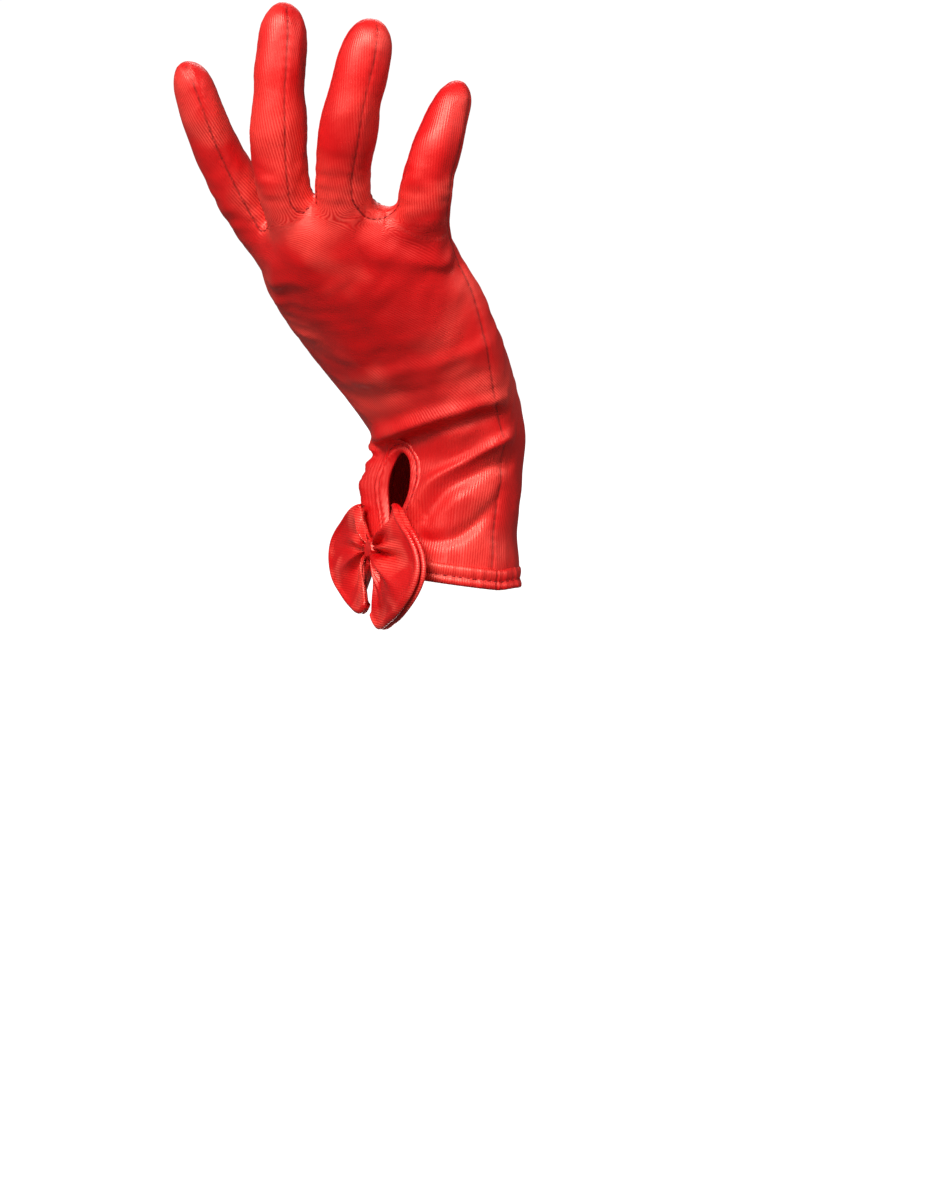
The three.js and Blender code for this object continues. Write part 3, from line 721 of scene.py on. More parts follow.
@dataclass(frozen=True)
class SatinFinish:
    """Polyester and elastane satin: a smooth knitted face whose floats throw a broad tinted shine."""

    name: str
    base: str = "cc040c"
    deep: str = "ac0209"
    shine: str = "ff8f80"
    # Lighter orange colour painted on the floats as a painted sheen
    floats: str = "ff5a4c"

    # How much of the floats' painted sheen colour shows in a patch, and the sheen patches on each metre
    float_light: float = 0.60
    patch_scale: float = 34.0

    roughness: float = 0.46
    specular: float = 1.0

    # Polyester's index is about 1.6, and a little more stands for the many floats that mirror the light
    bend: float = 1.75
    sheen: float = 0.05
    anisotropy: float = 0.45

    # Millimetres, apart from the lean, which is how far a wale runs aside on each millimetre upwards
    wale_pitch: float = 0.9
    wale_depth: float = 0.045
    wale_lean: float = 0.7
    lean_from: float = 60.0
    crumple: float = 0.25

    # How strongly painted shade darkens the cloth in each seam's groove, and the colour of that painted
    # shade
    seam_dark: float = 0.75
    seam_shade: str = "5a0004"
    sheen_tint: str = "ff7a60"

    # Spots on each metre
    dye_scale: float = 42.0
    fuzz_scale: float = 1500.0
    rumple_scale: float = 120.0
    fuzz_height: float = 1.2

    def build(self) -> bpy.types.Material:
        """Make the material.

        The wales of the knit are about 0.45 mm apart in the real cloth. They are too fine to show at that
        pitch, so they are drawn at twice that. Above the wrist they lean over, as the cloth is stretched
        aslant there. A lighter orange colour is painted on the floats in patches of a centimetre or two: a
        painted sheen that stands in for satin's broken shine. The cloth's place holds millimetres across it,
        along it and from the nearest seam.

        Returns:
            The material.
        """
        material = bpy.data.materials.new(self.name)
        material.use_nodes = True
        tree = material.node_tree
        tree.nodes.clear()
        place = add_node(tree, "ShaderNodeAttribute", {"attribute_name": CLOTH_PLACE})
        parts = add_node(tree, "ShaderNodeSeparateXYZ", None, {0: place.outputs["Vector"]})
        here = add_node(tree, "ShaderNodeTexCoord").outputs["Object"]

        # Wales of the knit, with the fuzz of the yarn on them
        wale_turn = add_node(tree, "ShaderNodeMath", {"operation": "MULTIPLY"},
                             {0: parts.outputs["X"], 1: 2 * math.pi / self.wale_pitch})
        lean = add_node(tree, "ShaderNodeMath", {"operation": "SUBTRACT"},
                        {0: parts.outputs["Y"], 1: self.lean_from})
        above = add_node(tree, "ShaderNodeMath", {"operation": "MAXIMUM"}, {0: lean.outputs[0], 1: 0.0})
        course_turn = add_node(tree, "ShaderNodeMath", {"operation": "MULTIPLY_ADD"},
                               {0: above.outputs[0], 1: 2 * math.pi / self.wale_pitch * self.wale_lean,
                                2: wale_turn.outputs[0]})
        wale = add_node(tree, "ShaderNodeMath", {"operation": "SINE"}, {0: course_turn.outputs[0]})
        fuzz = add_node(tree, "ShaderNodeTexNoise", None,
                        {"Vector": here, "Scale": self.fuzz_scale, "Detail": 2.0, "Roughness": 0.6})
        grain = add_node(tree, "ShaderNodeMath", {"operation": "MULTIPLY_ADD"},
                         {0: fuzz.outputs[0], 1: self.fuzz_height, 2: wale.outputs[0]})

        # Colour: uneven dye, painted sheen on the floats in patches, and painted shade along each seam
        dye = add_node(tree, "ShaderNodeTexNoise", None,
                       {"Vector": here, "Scale": self.dye_scale, "Detail": 3.0, "Roughness": 0.55})
        tone_range = add_node(tree, "ShaderNodeMapRange", None,
                              {0: dye.outputs[0], 1: 0.32, 2: 0.58, 3: 0.45, 4: 1.0})
        tone = add_node(tree, "ShaderNodeMix", {"data_type": "RGBA"},
                        {0: tone_range.outputs[0], 6: srgb(self.deep), 7: srgb(self.base)})
        # Painted sheen: a lighter orange colour along the wales, shown only in patches, stands in for the
        # satin's shine
        floats = add_node(tree, "ShaderNodeMapRange", None,
                          {0: grain.outputs[0], 1: -0.6, 2: 1.6, 3: 0.0, 4: self.float_light})
        patches = add_node(tree, "ShaderNodeTexNoise", None,
                           {"Vector": here, "Scale": self.patch_scale, "Detail": 1.5, "Roughness": 0.45,
                            "Distortion": 0.5})
        patch = add_node(tree, "ShaderNodeMapRange", {"interpolation_type": "SMOOTHSTEP"},
                         {0: patches.outputs[0], 1: 0.44, 2: 0.68, 3: 0.0, 4: 1.0})
        painted_sheen_share = add_node(tree, "ShaderNodeMath", {"operation": "MULTIPLY"},
                          {0: floats.outputs[0], 1: patch.outputs[0]})
        lit = add_node(tree, "ShaderNodeMix", {"data_type": "RGBA"},
                       {0: painted_sheen_share.outputs[0], 6: tone.outputs[2], 7: srgb(self.floats)})
        # Painted shade: a dark colour in the narrow groove along each seam
        near = add_node(tree, "ShaderNodeMapRange", {"interpolation_type": "SMOOTHSTEP"},
                        {0: parts.outputs["Z"], 1: 0.1, 2: 0.6, 3: self.seam_dark, 4: 0.0})
        shaded = add_node(tree, "ShaderNodeMix", {"data_type": "RGBA"},
                          {0: near.outputs[0], 6: lit.outputs[2], 7: srgb(self.seam_shade)})

        # Relief and gloss
        knit = add_node(tree, "ShaderNodeBump", None,
                        {"Strength": 0.55, "Distance": self.wale_depth * MM, "Height": grain.outputs[0]})
        rumple = add_node(tree, "ShaderNodeTexNoise", None,
                          {"Vector": here, "Scale": self.rumple_scale, "Detail": 2.5, "Roughness": 0.5,
                           "Distortion": 0.4})
        soft = add_node(tree, "ShaderNodeBump", None,
                        {"Strength": 0.8, "Distance": self.crumple * MM, "Height": rumple.outputs[0],
                         "Normal": knit.outputs[0]})
        rough = add_node(tree, "ShaderNodeMapRange", None,
                         {0: fuzz.outputs[0], 1: 0.3, 2: 0.7, 3: self.roughness - 0.04,
                          4: self.roughness + 0.05})
        shader = add_node(tree, "ShaderNodeBsdfPrincipled", None,
                          {"Base Color": shaded.outputs[2], "Roughness": rough.outputs[0],
                           "Normal": soft.outputs[0], "Specular IOR Level": self.specular,
                           "Specular Tint": srgb(self.shine), "IOR": self.bend,
                           "Anisotropic": self.anisotropy, "Sheen Weight": self.sheen,
                           "Sheen Roughness": 0.4, "Sheen Tint": srgb(self.sheen_tint)})
        add_node(tree, "ShaderNodeOutputMaterial", None, {"Surface": shader.outputs[0]})
        return material


@dataclass(frozen=True)
class ThreadFinish:
    """Spun polyester sewing thread: matt, a little darker than the satin, twisted."""

    name: str = "sewing_thread"
    colour: str = "960308"
    roughness: float = 0.55
    twist_pitch: float = 0.35
    twist_depth: float = 0.05

    def build(self) -> bpy.types.Material:
        """Make the material, with fine slanting bands for the thread's twist.

        Returns:
            The material.
        """
        material = bpy.data.materials.new(self.name)
        material.use_nodes = True
        tree = material.node_tree
        tree.nodes.clear()
        here = add_node(tree, "ShaderNodeTexCoord").outputs["Object"]
        twist = add_node(tree, "ShaderNodeTexWave", {"bands_direction": "DIAGONAL"},
                         {"Vector": here, "Scale": 0.3 / (self.twist_pitch * MM), "Distortion": 1.0})
        bump = add_node(tree, "ShaderNodeBump", None,
                        {"Strength": 0.5, "Distance": self.twist_depth * MM, "Height": twist.outputs[1]})
        shader = add_node(tree, "ShaderNodeBsdfPrincipled", None,
                          {"Base Color": srgb(self.colour), "Roughness": self.roughness,
                           "Normal": bump.outputs[0], "Specular IOR Level": 0.4})
        add_node(tree, "ShaderNodeOutputMaterial", None, {"Surface": shader.outputs[0]})
        return material


# Where the cloth is sewn


class SeamKind(Enum):
    """Which seam of the glove a line is."""

    STRIP = "strip"
    FORK = "fork"
    EDGE = "edge"
    THUMB = "thumb"


@dataclass
class Seam:
    """A sewn line on the cloth."""

    kind: SeamKind
    line: np.ndarray


@dataclass
class SeamPlan:
    """Where the glove's pieces of cloth are sewn together."""

    form: HandForm
    fork_drop: float = 5.5
    thumb_seam_out: float = 1.5

    # Frames along a finger's line and along the thumb's
    fork_frame: int = 30
    thumb_frame: int = 22

    # The back strip seam and the palm strip seam, as angles on the finger before and the finger after
    strip_angles: tuple = ((50.0, 310.0), (130.0, 230.0))

    # Angle round the hand and share of the body's length
    edge_seam: tuple = ((73.0, 0.03), (74.0, 0.10), (75.5, 0.247), (71.5, 0.35), (69.0, 0.455), (74.5, 0.60),
                        (81.5, 0.749), (85.0, 0.83), (90.0, 0.90))
    thumb_side_seam: tuple = ((-88.0, 0.03), (-92.0, 0.3), (-95.0, 0.9))
    seams: list[Seam] = field(default_factory=list)

    def strip_line(self, line: FingerLine, angle: float, start: float) -> np.ndarray:
        """Follow one angle of a finger from a place near its fork to its tip.

        Args:
            line: The finger's frames.
            angle: The angle from its back.
            start: Where the line starts, 0 at the fork and 1 at the middle joint.

        Returns:
            The line's points.
        """
        picks = [i for i in range(len(line.above)) if line.above[i] >= start]
        points = [line.ring(i, np.array([angle]), line.radius[i])[0] for i in picks]
        end = len(line.above) - 1
        for bow in (25.0, 50.0, 68.0):
            reach = line.radius[end] * math.cos(math.radians(bow))
            ahead = line.radius[end] * TIP_BULGE * math.sin(math.radians(bow))
            points.append(line.ring(end, np.array([angle]), reach, ahead)[0])
        return np.array(points)

    def build(self, surface: BVHTree) -> list[Seam]:
        """Lay all the seams on the cloth.

        Args:
            surface: The cloth's outer face.

        Returns:
            The seams.
        """
        def settle(points: np.ndarray) -> np.ndarray:
            """Lay a line's points on the cloth at even distances."""
            spots = resample(points, SEAM_STEP)
            found = [surface.find_nearest(Vector(p))[0] for p in spots]
            return np.array([tuple(f) for f in found])

        lines = self.form.lines
        for near, far in zip(lines, lines[1:]):
            for near_angle, far_angle in self.strip_angles:
                first = self.strip_line(near, near_angle, 0.10)
                last = self.strip_line(far, far_angle, 0.10)
                self.seams.append(Seam(SeamKind.STRIP, settle(first)))
                self.seams.append(Seam(SeamKind.STRIP, settle(last)))
                middle = (first[0] + last[0]) / 2
                heading = near.ahead[self.fork_frame] + far.ahead[self.fork_frame]
                low = middle - heading / np.linalg.norm(heading) * self.fork_drop
                turn = np.linspace(0.0, 1.0, 25)[:, None]
                drop = np.sin(math.pi * turn) ** 0.8
                bow = first[0] * (1 - turn) + last[0] * turn + (low - middle) * drop
                self.seams.append(Seam(SeamKind.FORK, settle(bow)))
        angles = np.array([row[0] for row in self.edge_seam])
        shares = np.array([row[1] for row in self.edge_seam])
        fine = np.linspace(shares[0], shares[-1], 160)
        around = np.interp(fine, shares, angles)
        low = self.form.skin(fine * self.form.length, around)
        high = self.strip_line(lines[3], 90.0, 0.05)
        self.seams.append(Seam(SeamKind.EDGE, settle(np.vstack([low, high]))))
        thumb_side = np.interp(fine, [row[1] for row in self.thumb_side_seam],
                               [row[0] for row in self.thumb_side_seam])
        low = self.form.skin(fine * self.form.length, thumb_side)
        high = self.strip_line(lines[0], 270.0, 0.05)
        self.seams.append(Seam(SeamKind.EDGE, settle(np.vstack([low, high]))))
        thumb = self.form.thumb
        self.seams.append(Seam(SeamKind.THUMB, settle(self.strip_line(thumb, 250.0, -0.2))))
        root = thumb.ring(self.thumb_frame, np.linspace(0, 360, 60),
                          thumb.radius[self.thumb_frame] + self.thumb_seam_out)
        self.seams.append(Seam(SeamKind.THUMB, settle(root)))
        return self.seams


# The hand's cloth


@dataclass
class GloveCloth:
    """The glove's hand: back, palm, strips between the fingers and thumb, as one stretched cloth."""

    form: HandForm
    plan: SeamPlan
    finish: SatinFinish
    voxel: float = 0.9
    wall: float = 0.95
    cut_height: float = 5.0
    groove: float = 0.30
    groove_width: float = 0.50
    body_step: float = 1.0
    body_sides: int = 220
    finger_sides: int = 56
    keyhole_margin: float = 1.3

    # Frames along a finger's line and along the thumb's
    tip_frames: int = 4
    finger_from: int = 20
    knuckle_frame: int = 24
    web_frame: int = 27
    gather_frame: int = 31
    thumb_root_frame: int = 22
    thumb_from: int = 26
    thumb_every: int = 3

    # How much of a finger's length the knit's lean follows
    finger_lean: float = 0.35

    # Places that are tried along a fold, how slowly it fades at its ends, and how much it wanders in height
    fold_places: int = 41
    fold_fade: float = 0.55
    fold_wander: float = 0.22

    # How often the points move to the middle of their neighbours
    merge_rounds: int = 5
    web_rounds: int = 22
    knuckle_rounds: int = 90

    # The cloth puffs up beside a seam and puckers along it
    puff: float = 0.07
    puff_at: float = 1.4
    puff_width: float = 0.8
    pucker: float = 0.05
    pucker_width: float = 1.6
    pucker_pitch: float = 3.4

    # Unevenness: waves on each millimetre, and heights in millimetres
    slow_scale: float = 0.075
    slow_relief: float = 0.80
    ripple_scale: tuple = (0.11, 0.30, 0.11)
    ripple_relief: float = 0.30
    gather_scale: tuple = (0.10, 0.16, 0.34)
    gather_relief: float = 1.0
    gather_reach: float = 9.5

    # Filled by shape
    points: np.ndarray = field(init=False, repr=False)
    quads: np.ndarray = field(init=False, repr=False)
    cloth_place: np.ndarray = field(init=False, repr=False)

    def raw(self) -> bpy.types.Object:
        """Loft the body, fingers and thumb as closed tubes in one mesh.

        Returns:
            The tubes, which still cross each other.
        """
        parts: list[np.ndarray] = []
        faces: list[tuple[int, ...]] = []
        count = 0
        around = np.linspace(0.0, 360.0, self.body_sides, endpoint=False)
        stops = np.arange(1.0, self.form.length, self.body_step)
        stops = np.append(stops, self.form.length)
        rings = [self.form.skin(np.full(self.body_sides, stop), around) for stop in stops]
        tubes = [rings]
        for line in [*self.form.lines, self.form.thumb]:
            angles = np.linspace(0.0, 360.0, self.finger_sides, endpoint=False)
            rings = [line.ring(i, angles, line.radius[i]) for i in range(len(line.above))]
            rings = rings[:-self.tip_frames]
            end = len(line.above) - 1
            start = end - self.tip_frames
            length = line.radius[end] * TIP_BULGE + np.linalg.norm(line.place[end] - line.place[start])
            for bow in np.linspace(0.0, 87.0, 13):
                flat = math.radians(bow)
                radius = line.radius[end] * math.cos(flat)
                rings.append(line.ring(start, angles, radius, length * math.sin(flat)))
            tubes.append(rings)
        for tube in tubes:
            points, made = capped_loft(tube, count)
            parts.append(points)
            faces += made
            count += len(points)
        return make_object("glove_cloth", np.vstack(parts), faces, 1.0)

    def fold_rise(self, around: np.ndarray, along: np.ndarray) -> np.ndarray:
        """Give the height of the cloth's folds.

        Args:
            around: Angles from the back.
            along: Distances from the hem.

        Returns:
            Millimetres outwards for each place.
        """
        degree = self.form.girth(along) / 360.0
        rise = np.zeros(len(along))
        for fold in FOLDS:
            middle_angle = (fold.start[0] + fold.end[0]) / 2
            x = ((around - middle_angle + 180.0) % 360.0 - 180.0 + middle_angle) * degree
            x0, x1 = fold.start[0] * degree, fold.end[0] * degree
            y0, y1 = fold.start[1] * self.form.length, fold.end[1] * self.form.length
            off = np.full(len(along), np.inf)
            t = np.zeros(len(along))
            for share in np.linspace(0.0, 1.0, self.fold_places):
                bend = y0 + (y1 - y0) * share - fold.sag * self.form.length * 4 * share * (1 - share)
                reach = np.hypot(x - (x0 + (x1 - x0) * share), along - bend)
                nearer = reach < off
                off = np.where(nearer, reach, off)
                t = np.where(nearer, share, t)
            fade = np.sin(math.pi * t) ** self.fold_fade
            wander = 1.0 + self.fold_wander * np.sin(t * 9.0 + y0)
            rise += fold.rise * fade * wander * np.exp(-((off / fold.breadth) ** 2))
        return rise

    def shape(self) -> None:
        """Merge the tubes, smooth the forks, push up the folds and sink the seams."""
        piece = self.raw()
        remesh = piece.modifiers.new("merge", "REMESH")
        remesh.mode = "VOXEL"
        remesh.voxel_size = self.voxel
        remesh.adaptivity = 0.0
        apply_modifiers(piece)
        points, quads, edges = read_mesh(piece.data)
        log.info("cloth merged: %d points", len(points))
        points = smooth_points(points, edges, np.full(len(points), 0.5), self.merge_rounds)
        near_fork = np.zeros(len(points))
        lines = self.form.lines
        for near, far in zip(lines, lines[1:]):
            centre = (near.place[self.web_frame] + far.place[self.web_frame]) / 2
            reach = np.linalg.norm(points - centre, axis=1)
            near_fork = np.maximum(near_fork, 1 - smoothstep(4.0, 10.0, reach))
        root = self.form.thumb.place[self.thumb_root_frame]
        reach = np.linalg.norm(points - root, axis=1)
        near_fork = np.maximum(near_fork, 0.9 * (1 - smoothstep(12.0, 24.0, reach)))
        points = smooth_points(points, edges, 0.6 * near_fork, self.web_rounds)
        knuckles = np.zeros(len(points))
        for line in lines:
            off = points - line.place[self.knuckle_frame]
            reach = np.linalg.norm(off, axis=1)
            level = off @ line.ahead[self.knuckle_frame]
            outward = np.abs(off @ line.down[self.knuckle_frame]) / line.radius[self.knuckle_frame]
            share = (1 - smoothstep(15.0, 21.0, reach)) * smoothstep(0.35, 0.8, outward)
            knuckles = np.maximum(knuckles, share * (1 - smoothstep(6.0, 14.0, level)))
        points = smooth_points(points, edges, 0.6 * knuckles, self.knuckle_rounds)
        self.quads = quads
        around, along = self.form.unroll(points)
        normals = point_normals(points, quads)
        on_body = 1 - smoothstep(0.90, 0.99, along / self.form.length)
        on_body *= 1 - self.thumb_share(points)
        rise = self.fold_rise(around, along) * on_body
        rise += self.hand_relief(points)
        points = points + normals * rise[:, None]
        points = smooth_points(points, edges, np.full(len(points), 0.3), 1)
        surface = BVHTree.FromPolygons(points.tolist(), quads.tolist())
        seams = self.plan.build(surface)
        distance, place_along = self.seam_distance(points, seams)
        normals = point_normals(points, quads)
        sink = -self.groove * np.exp(-((distance / self.groove_width) ** 2))
        puff = self.puff * np.exp(-(((distance - self.puff_at) / self.puff_width) ** 2))
        near_seam = np.exp(-((distance / self.pucker_width) ** 2))
        pucker = self.pucker * near_seam * np.cos(place_along * 2 * math.pi / self.pucker_pitch)
        points = points + normals * (sink + puff + pucker)[:, None]
        self.points = points
        self.cloth_place = np.stack([*self.grain(points, around, along), distance], axis=1)
        bpy.data.objects.remove(piece)

    def thumb_share(self, points: np.ndarray) -> np.ndarray:
        """Tell how much each point belongs to the thumb.

        Args:
            points: The cloth's points.

        Returns:
            A share from 0 to 1 for each.
        """
        line = self.form.thumb
        best = np.full(len(points), 1e9)
        for i in range(self.thumb_from, len(line.above), self.thumb_every):
            best = np.minimum(best, np.linalg.norm(points - line.place[i], axis=1) - line.radius[i])
        return 1 - smoothstep(0.5, 5.0, best)

    def hand_relief(self, points: np.ndarray) -> np.ndarray:
        """Give the low unevenness of stretched cloth, and its small gathers at the fingers' roots.

        Args:
            points: The cloth's points.

        Returns:
            Millimetres outwards.
        """
        def uneven(scale: tuple, offset: tuple) -> np.ndarray:
            """Read smooth noise at the points, finer along the axes with a larger scale."""
            return np.array([noise.noise(Vector((p[0] * scale[0], p[1] * scale[1], p[2] * scale[2]))
                                         + Vector(offset)) for p in points])

        slow = np.array([noise.noise(Vector(p) * self.slow_scale) for p in points])
        ripple = uneven(self.ripple_scale, (7, 3, 1))
        roots = np.zeros(len(points))
        for line in self.form.lines:
            reach = np.linalg.norm(points - line.place[self.gather_frame], axis=1)
            roots = np.maximum(roots, np.exp(-((reach / self.gather_reach) ** 2)))
        gathers = uneven(self.gather_scale, (3, 9, 5))
        return self.slow_relief * slow + self.ripple_relief * ripple + self.gather_relief * roots * gathers

    def seam_distance(self, points: np.ndarray, seams: list[Seam]) -> tuple[np.ndarray, np.ndarray]:
        """Find how far each point is from the nearest seam.

        Args:
            points: The cloth's points.
            seams: The seams.

        Returns:
            The distances, and the places along those seams.
        """
        spots = np.vstack([seam.line for seam in seams])
        run = np.concatenate([np.arange(len(seam.line)) * SEAM_STEP for seam in seams])
        tree = KDTree(len(spots))
        for i, spot in enumerate(spots):
            tree.insert(Vector(spot), i)
        tree.balance()
        found = [tree.find(Vector(p)) for p in points]
        return np.array([f[2] for f in found]), np.array([run[f[1]] for f in found])

    def grain(self, points: np.ndarray, around: np.ndarray,
              along: np.ndarray) -> tuple[np.ndarray, np.ndarray]:
        """Give places across and along the cloth for the knit's lines.

        Args:
            points: The cloth's points.
            around: Their angles from the back.
            along: Their distances from the hem.

        Returns:
            Millimetres across and along.
        """
        seam_rows = np.array(self.plan.edge_seam)

        def from_seam(angle: np.ndarray, height: np.ndarray) -> np.ndarray:
            """Measure round the body from the edge seam to an angle, in millimetres."""
            seam = np.interp(height / self.form.length, seam_rows[:, 1], seam_rows[:, 0])
            return ((angle - seam + 180.0) % 360.0 - 180.0) * self.form.girth(height) / 360.0

        across = from_seam(around, along)
        first = self.finger_from
        body_across, body_along = across, along
        closest = np.full(len(points), np.inf)
        for line in [*self.form.lines, self.form.thumb]:
            offset = points[:, None, :] - line.place[None, first::2, :]
            pick = first + 2 * np.argmin(np.linalg.norm(offset, axis=2), axis=1)
            off = points - line.place[pick]
            gap = np.linalg.norm(off, axis=1) - line.radius[pick]
            aside = np.einsum("ni,ni->n", off, line.side[pick])
            turn = np.arctan2(aside, -np.einsum("ni,ni->n", off, line.down[pick]))
            steps = np.linalg.norm(np.diff(line.place, axis=0), axis=1)
            run = np.concatenate([[0.0], np.cumsum(steps)]) - steps[:first].sum()
            ahead = run[pick] + np.einsum("ni,ni->n", off, line.ahead[pick])
            root = line.place[first] - line.down[first] * line.radius[first]
            root_around, root_along = self.form.unroll(root[None, :])
            root_across = from_seam(root_around, root_along)
            nearer = (gap < 6.0) & (gap < closest)
            closest = np.where(nearer, gap, closest)
            belongs = nearer * smoothstep(0.0, 5.0, ahead)
            finger_across = root_across + turn * line.radius[self.knuckle_frame] * 0.9
            finger_along = root_along + ahead * self.finger_lean
            across = np.where(nearer, body_across + belongs * (finger_across - body_across), across)
            along = np.where(nearer, body_along + belongs * (finger_along - body_along), along)
        return across, along

    def keyhole_cut(self, keyhole: Keyhole) -> np.ndarray:
        """Tell which points lie in the keyhole, its slit or the margin that the facing covers."""
        local = keyhole.to_local(self.points)
        return keyhole.inside(local[:, 0], local[:, 1], -self.keyhole_margin) & (local[:, 2] > 0)

    def build(self, keyhole: Keyhole) -> bpy.types.Object:
        """Cut the cloth open at the hem and the keyhole, and give it a wall.

        Args:
            keyhole: The opening.

        Returns:
            The finished piece.
        """
        cut = self.keyhole_cut(keyhole) | (self.points[:, 2] < self.cut_height)
        keep = ~cut[self.quads].all(axis=1)
        quads = self.quads[keep]
        used = np.unique(quads)
        number = np.full(len(self.points), -1)
        number[used] = np.arange(len(used))
        mesh = bpy.data.meshes.new("glove_cloth")
        mesh.from_pydata((self.points[used] * MM).tolist(), [], number[quads].tolist())
        mesh.shade_smooth()
        store_cloth_place(mesh, self.cloth_place[used])
        piece = bpy.data.objects.new("glove_cloth", mesh)
        bpy.context.scene.collection.objects.link(piece)
        mesh.materials.append(self.finish.build())
        wall = piece.modifiers.new("wall", "SOLIDIFY")
        wall.thickness = self.wall * MM
        wall.offset = -1.0
        wall.use_even_offset = False
        wall.use_rim = True
        apply_modifiers(piece)
        return piece


# The keyhole and the cuff's hem


@dataclass
class Keyhole:
    """The teardrop opening on the back of the wrist with its turned and stitched facing."""

    form: HandForm
    around: float = -21.0
    width: float = 12.0
    top: float = 41.5
    slit_top: float = 9.0
    slit_width: float = 0.9
    widest_share: float = 0.62
    middle_up: float = 25.0
    straight_to: float = 30.0
    dome_from: float = 27.6
    side_places: int = 60
    outside: float = 90.0

    def __post_init__(self) -> None:
        """Set up the frame across, up and out."""
        turn = math.radians(self.around)
        self.outward = np.array([math.sin(turn), -math.cos(turn), 0.0])
        self.across = np.array([math.cos(turn), math.sin(turn), 0.0])

    def to_local(self, points: np.ndarray) -> np.ndarray:
        """Turn points into across, up and out."""
        return np.stack([points @ self.across, points[:, 2], points @ self.outward], axis=1)

    def to_world(self, points: np.ndarray) -> np.ndarray:
        """Turn across, up and out into points."""
        return (points[:, :1] * self.across + points[:, 1:2] * np.array([0.0, 0.0, 1.0])
                + points[:, 2:] * self.outward)

    def half_width(self, up: np.ndarray) -> np.ndarray:
        """Give half the opening's width.

        Args:
            up: Heights above the glove's edge.

        Returns:
            Half the width at each.
        """
        widest = self.slit_top + (self.top - self.slit_top) * self.widest_share
        slit, half = self.slit_width / 2, self.width / 2
        rise = smoothstep(self.slit_top, widest, up)
        dome = np.clip((up - widest) / (self.top - widest), 0.0, 1.0)
        return (slit + (half - slit) * rise) * np.sqrt(np.maximum(0.0, 1 - dome ** 2.2))

    def inside(self, across: np.ndarray, up: np.ndarray, shrink: float = 0.0) -> np.ndarray:
        """Tell which places lie in the opening, less a margin at its edge."""
        half = self.half_width(up + shrink * np.sign(up - self.middle_up))
        return (up < self.top - shrink) & (np.abs(across) < np.maximum(half - shrink, 0.15))

    def outline(self, bottom: float, step: float = 0.5) -> np.ndarray:
        """Lay the opening's edge, up one side and down the other.

        Args:
            bottom: The height where it starts and ends.
            step: The distance between its points.

        Returns:
            Places across and up.
        """
        straight = np.linspace(bottom, self.straight_to, self.side_places)
        dome = np.sin(np.linspace(0.0, math.pi / 2, self.side_places))
        up = np.unique(np.concatenate([straight, self.dome_from + (self.top - self.dome_from) * dome]))
        right = np.stack([self.half_width(up), up, np.zeros(len(up))], axis=1)
        left = right[::-1] * np.array([-1.0, 1.0, 1.0])
        return resample(np.vstack([right, left[1:]]), step)[:, :2]

    def lay(self, places: np.ndarray, surface: BVHTree) -> np.ndarray:
        """Drop places across and up onto the cloth from outside.

        Args:
            places: Across and up.
            surface: The cloth's outer face.

        Returns:
            How far out the cloth is there.
        """
        out = []
        for across, up in places:
            start = self.across * across + np.array([0.0, 0.0, up]) + self.outward * self.outside
            hit = surface.ray_cast(Vector(start), Vector(-self.outward))[0]
            out.append(float(np.array(hit) @ self.outward) if hit else np.nan)
        found = np.array(out)
        holes = np.isnan(found)
        if holes.any():
            found[holes] = np.interp(np.flatnonzero(holes), np.flatnonzero(~holes), found[~holes])
        return found


